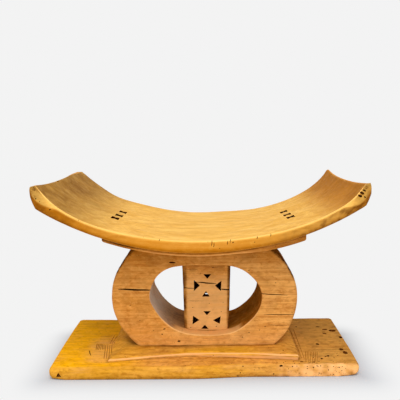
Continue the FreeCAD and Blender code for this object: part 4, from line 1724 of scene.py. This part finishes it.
def paintBase(piece):
    points = readPoints(piece) / mm
    x, y, z = points.T
    rough = softNoise(points, 50, 9)
    fine = softNoise(points, 9, 10)
    onTop = smoothStep(z, 17, 22.5)
    left = smoothStep(-x, 80, 190)
    right = smoothStep(x, 120, 230)
    # a patch on the left end has lost its polish
    handled = smoothStep(np.abs(x + 198) + 14 * rough, 44, 8) * smoothStep(y, 40, 0) * smoothStep(-y, 116, 92)
    handled = handled * onTop
    fromFront = y + baseFront(x)
    front = smoothStep(fromFront, 8, 3)
    stepX, stepY = step["half"]
    aside = np.abs(x) - stepX
    ahead = np.abs(y) - np.where(y < 0, stepFront(np.clip(x, -stepX, stepX)), stepY)
    gap = np.maximum(aside, ahead)
    # a painted shadow line on the top just before the step's front
    beforeStep = smoothStep(gap, 4, 0.5) * smoothStep(-y, 60, 70)
    worn = smoothStep(np.hypot((x - 262) / 190, fromFront / 9), 1.0, 0.2)
    rim = front * smoothStep(z, 9, 15) * (0.15 + 0.3 * rough)

    amber = left * (1.1 + 0.4 * rough) * (1 - 0.5 * handled) * (1 - 0.84 * front)
    amber += 0.3 * front * smoothStep(x, 160, 20)
    dusty = right * onTop * (0.62 + 0.4 * rough)
    # the top is darker near the step, a painted shade between the parts, more so on the right; besides that,
    # dark specks and a darker right end
    dark = smoothStep(gap, 9, 0) * (0.12 + 0.28 * right) + 0.12 * smoothStep(rough, 0.15, 0.55)
    dark += 0.5 * beforeStep + 0.32 * right * smoothStep(fine, 0.12, 0.4) + 0.2 * smoothStep(x, 250, 285)
    # the front is brightest under its upper edge, and darker towards its foot
    darkening = 0.08 + 0.5 * smoothStep(z, 7, 1) + 0.16 * smoothStep(z, 13, 8) + 0.08 * left
    paling = np.maximum(worn * (0.56 + 0.5 * fine), rim) + 0.3 * handled
    writeWearAndPaintedLight(piece, onTop * dark + front * darkening, paling, dusty, amber)


def paintStep(piece):
    points = readPoints(piece) / mm
    x, y, z = points.T
    rough = softNoise(points, 30, 12)
    fromRing = np.abs(y) - ring["halfDepth"]
    fromEdge = y + stepFront(x)
    drop, deeper = step["slopeDrop"]
    belowEdge = step["top"] - drop - (deeper - drop) * smoothStep(-x, *step["leftSpan"]) - z
    # beside the ring's feet the step's top has a painted shadow of the ring, with soiling
    besideRing = smoothStep(fromRing, 7, 0) * smoothStep(np.abs(x), 150, 120)
    besideRing += smoothStep(fromRing, 10, -4) * smoothStep(np.abs(x), 172, 135) * smoothStep(z, 28, 32)
    polished = smoothStep(np.abs(x - 20), 100, 50) * smoothStep(-y, 58, 68)
    tread = smoothStep(-y, 56, 66) * smoothStep(fromEdge, 4, 8)
    rim = smoothStep(np.abs(fromEdge - 1.8), 2.4, 0.8) * smoothStep(belowEdge, 2.6, 1.4)
    riser = smoothStep(fromEdge, 1.5, 0.3) * smoothStep(belowEdge, 1.0, 2.4)
    # a painted shadow line along the foot of the front riser
    riserFoot = smoothStep(fromEdge, 2, 0.5) * smoothStep(z, 26.5, 24.5)
    streak = smoothStep(np.abs(x - 148), 26, 14) * smoothStep(-y, 82, 86) * smoothStep(z, 33, 29)

    amber = 0.12 + 0.5 * polished + 0.28 * smoothStep(-x, 60, 170)
    dark = 0.4 * besideRing + 0.24 * tread + 0.45 * streak + 0.12 * rough
    dark += 0.3 * riser * smoothStep(x, 60, 140) + 0.34 * riserFoot
    paling = np.maximum(0.85 * rim, 0.55 * riser)
    writeWearAndPaintedLight(piece, dark, paling, np.full(len(x), 0.1), amber)


base = makeBaseBoard()
plinth = makeStep()
under = makeLedge()
scooped = makeSeat()
carved = makeRing()
pierced = makeColumn()
print("pieces shaped")

carveSeat(scooped)
print("seat carved")
carveColumn(pierced)
carveRing(carved)
print("ring and column carved")
carveStep(plinth)
carveBase(base)
print("base carved")

for piece, paint, slotName, nodes in (
    (base, paintBase, "base_wood", ["base_board"]),
    (plinth, paintStep, "base_wood", ["plinth_step"]),
    (under, paintLedge, "seat_wood", ["seat_ledge"]),
    (scooped, paintSeat, "seat_wood", ["seat"]),
    (carved, paintRing, "ring_wood", ["ring_left_limb", "ring_right_limb", "ring_crown", "ring_foot"]),
    (pierced, paintColumn, "ring_wood", ["centre_column"]),
):
    smoothShade(piece)
    paint(piece)
    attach(piece, "root")
    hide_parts(*nodes)
    print(piece.name, len(piece.data.polygons), "faces, materials", [m.name for m in piece.data.materials])
print("pieces set on the frame")
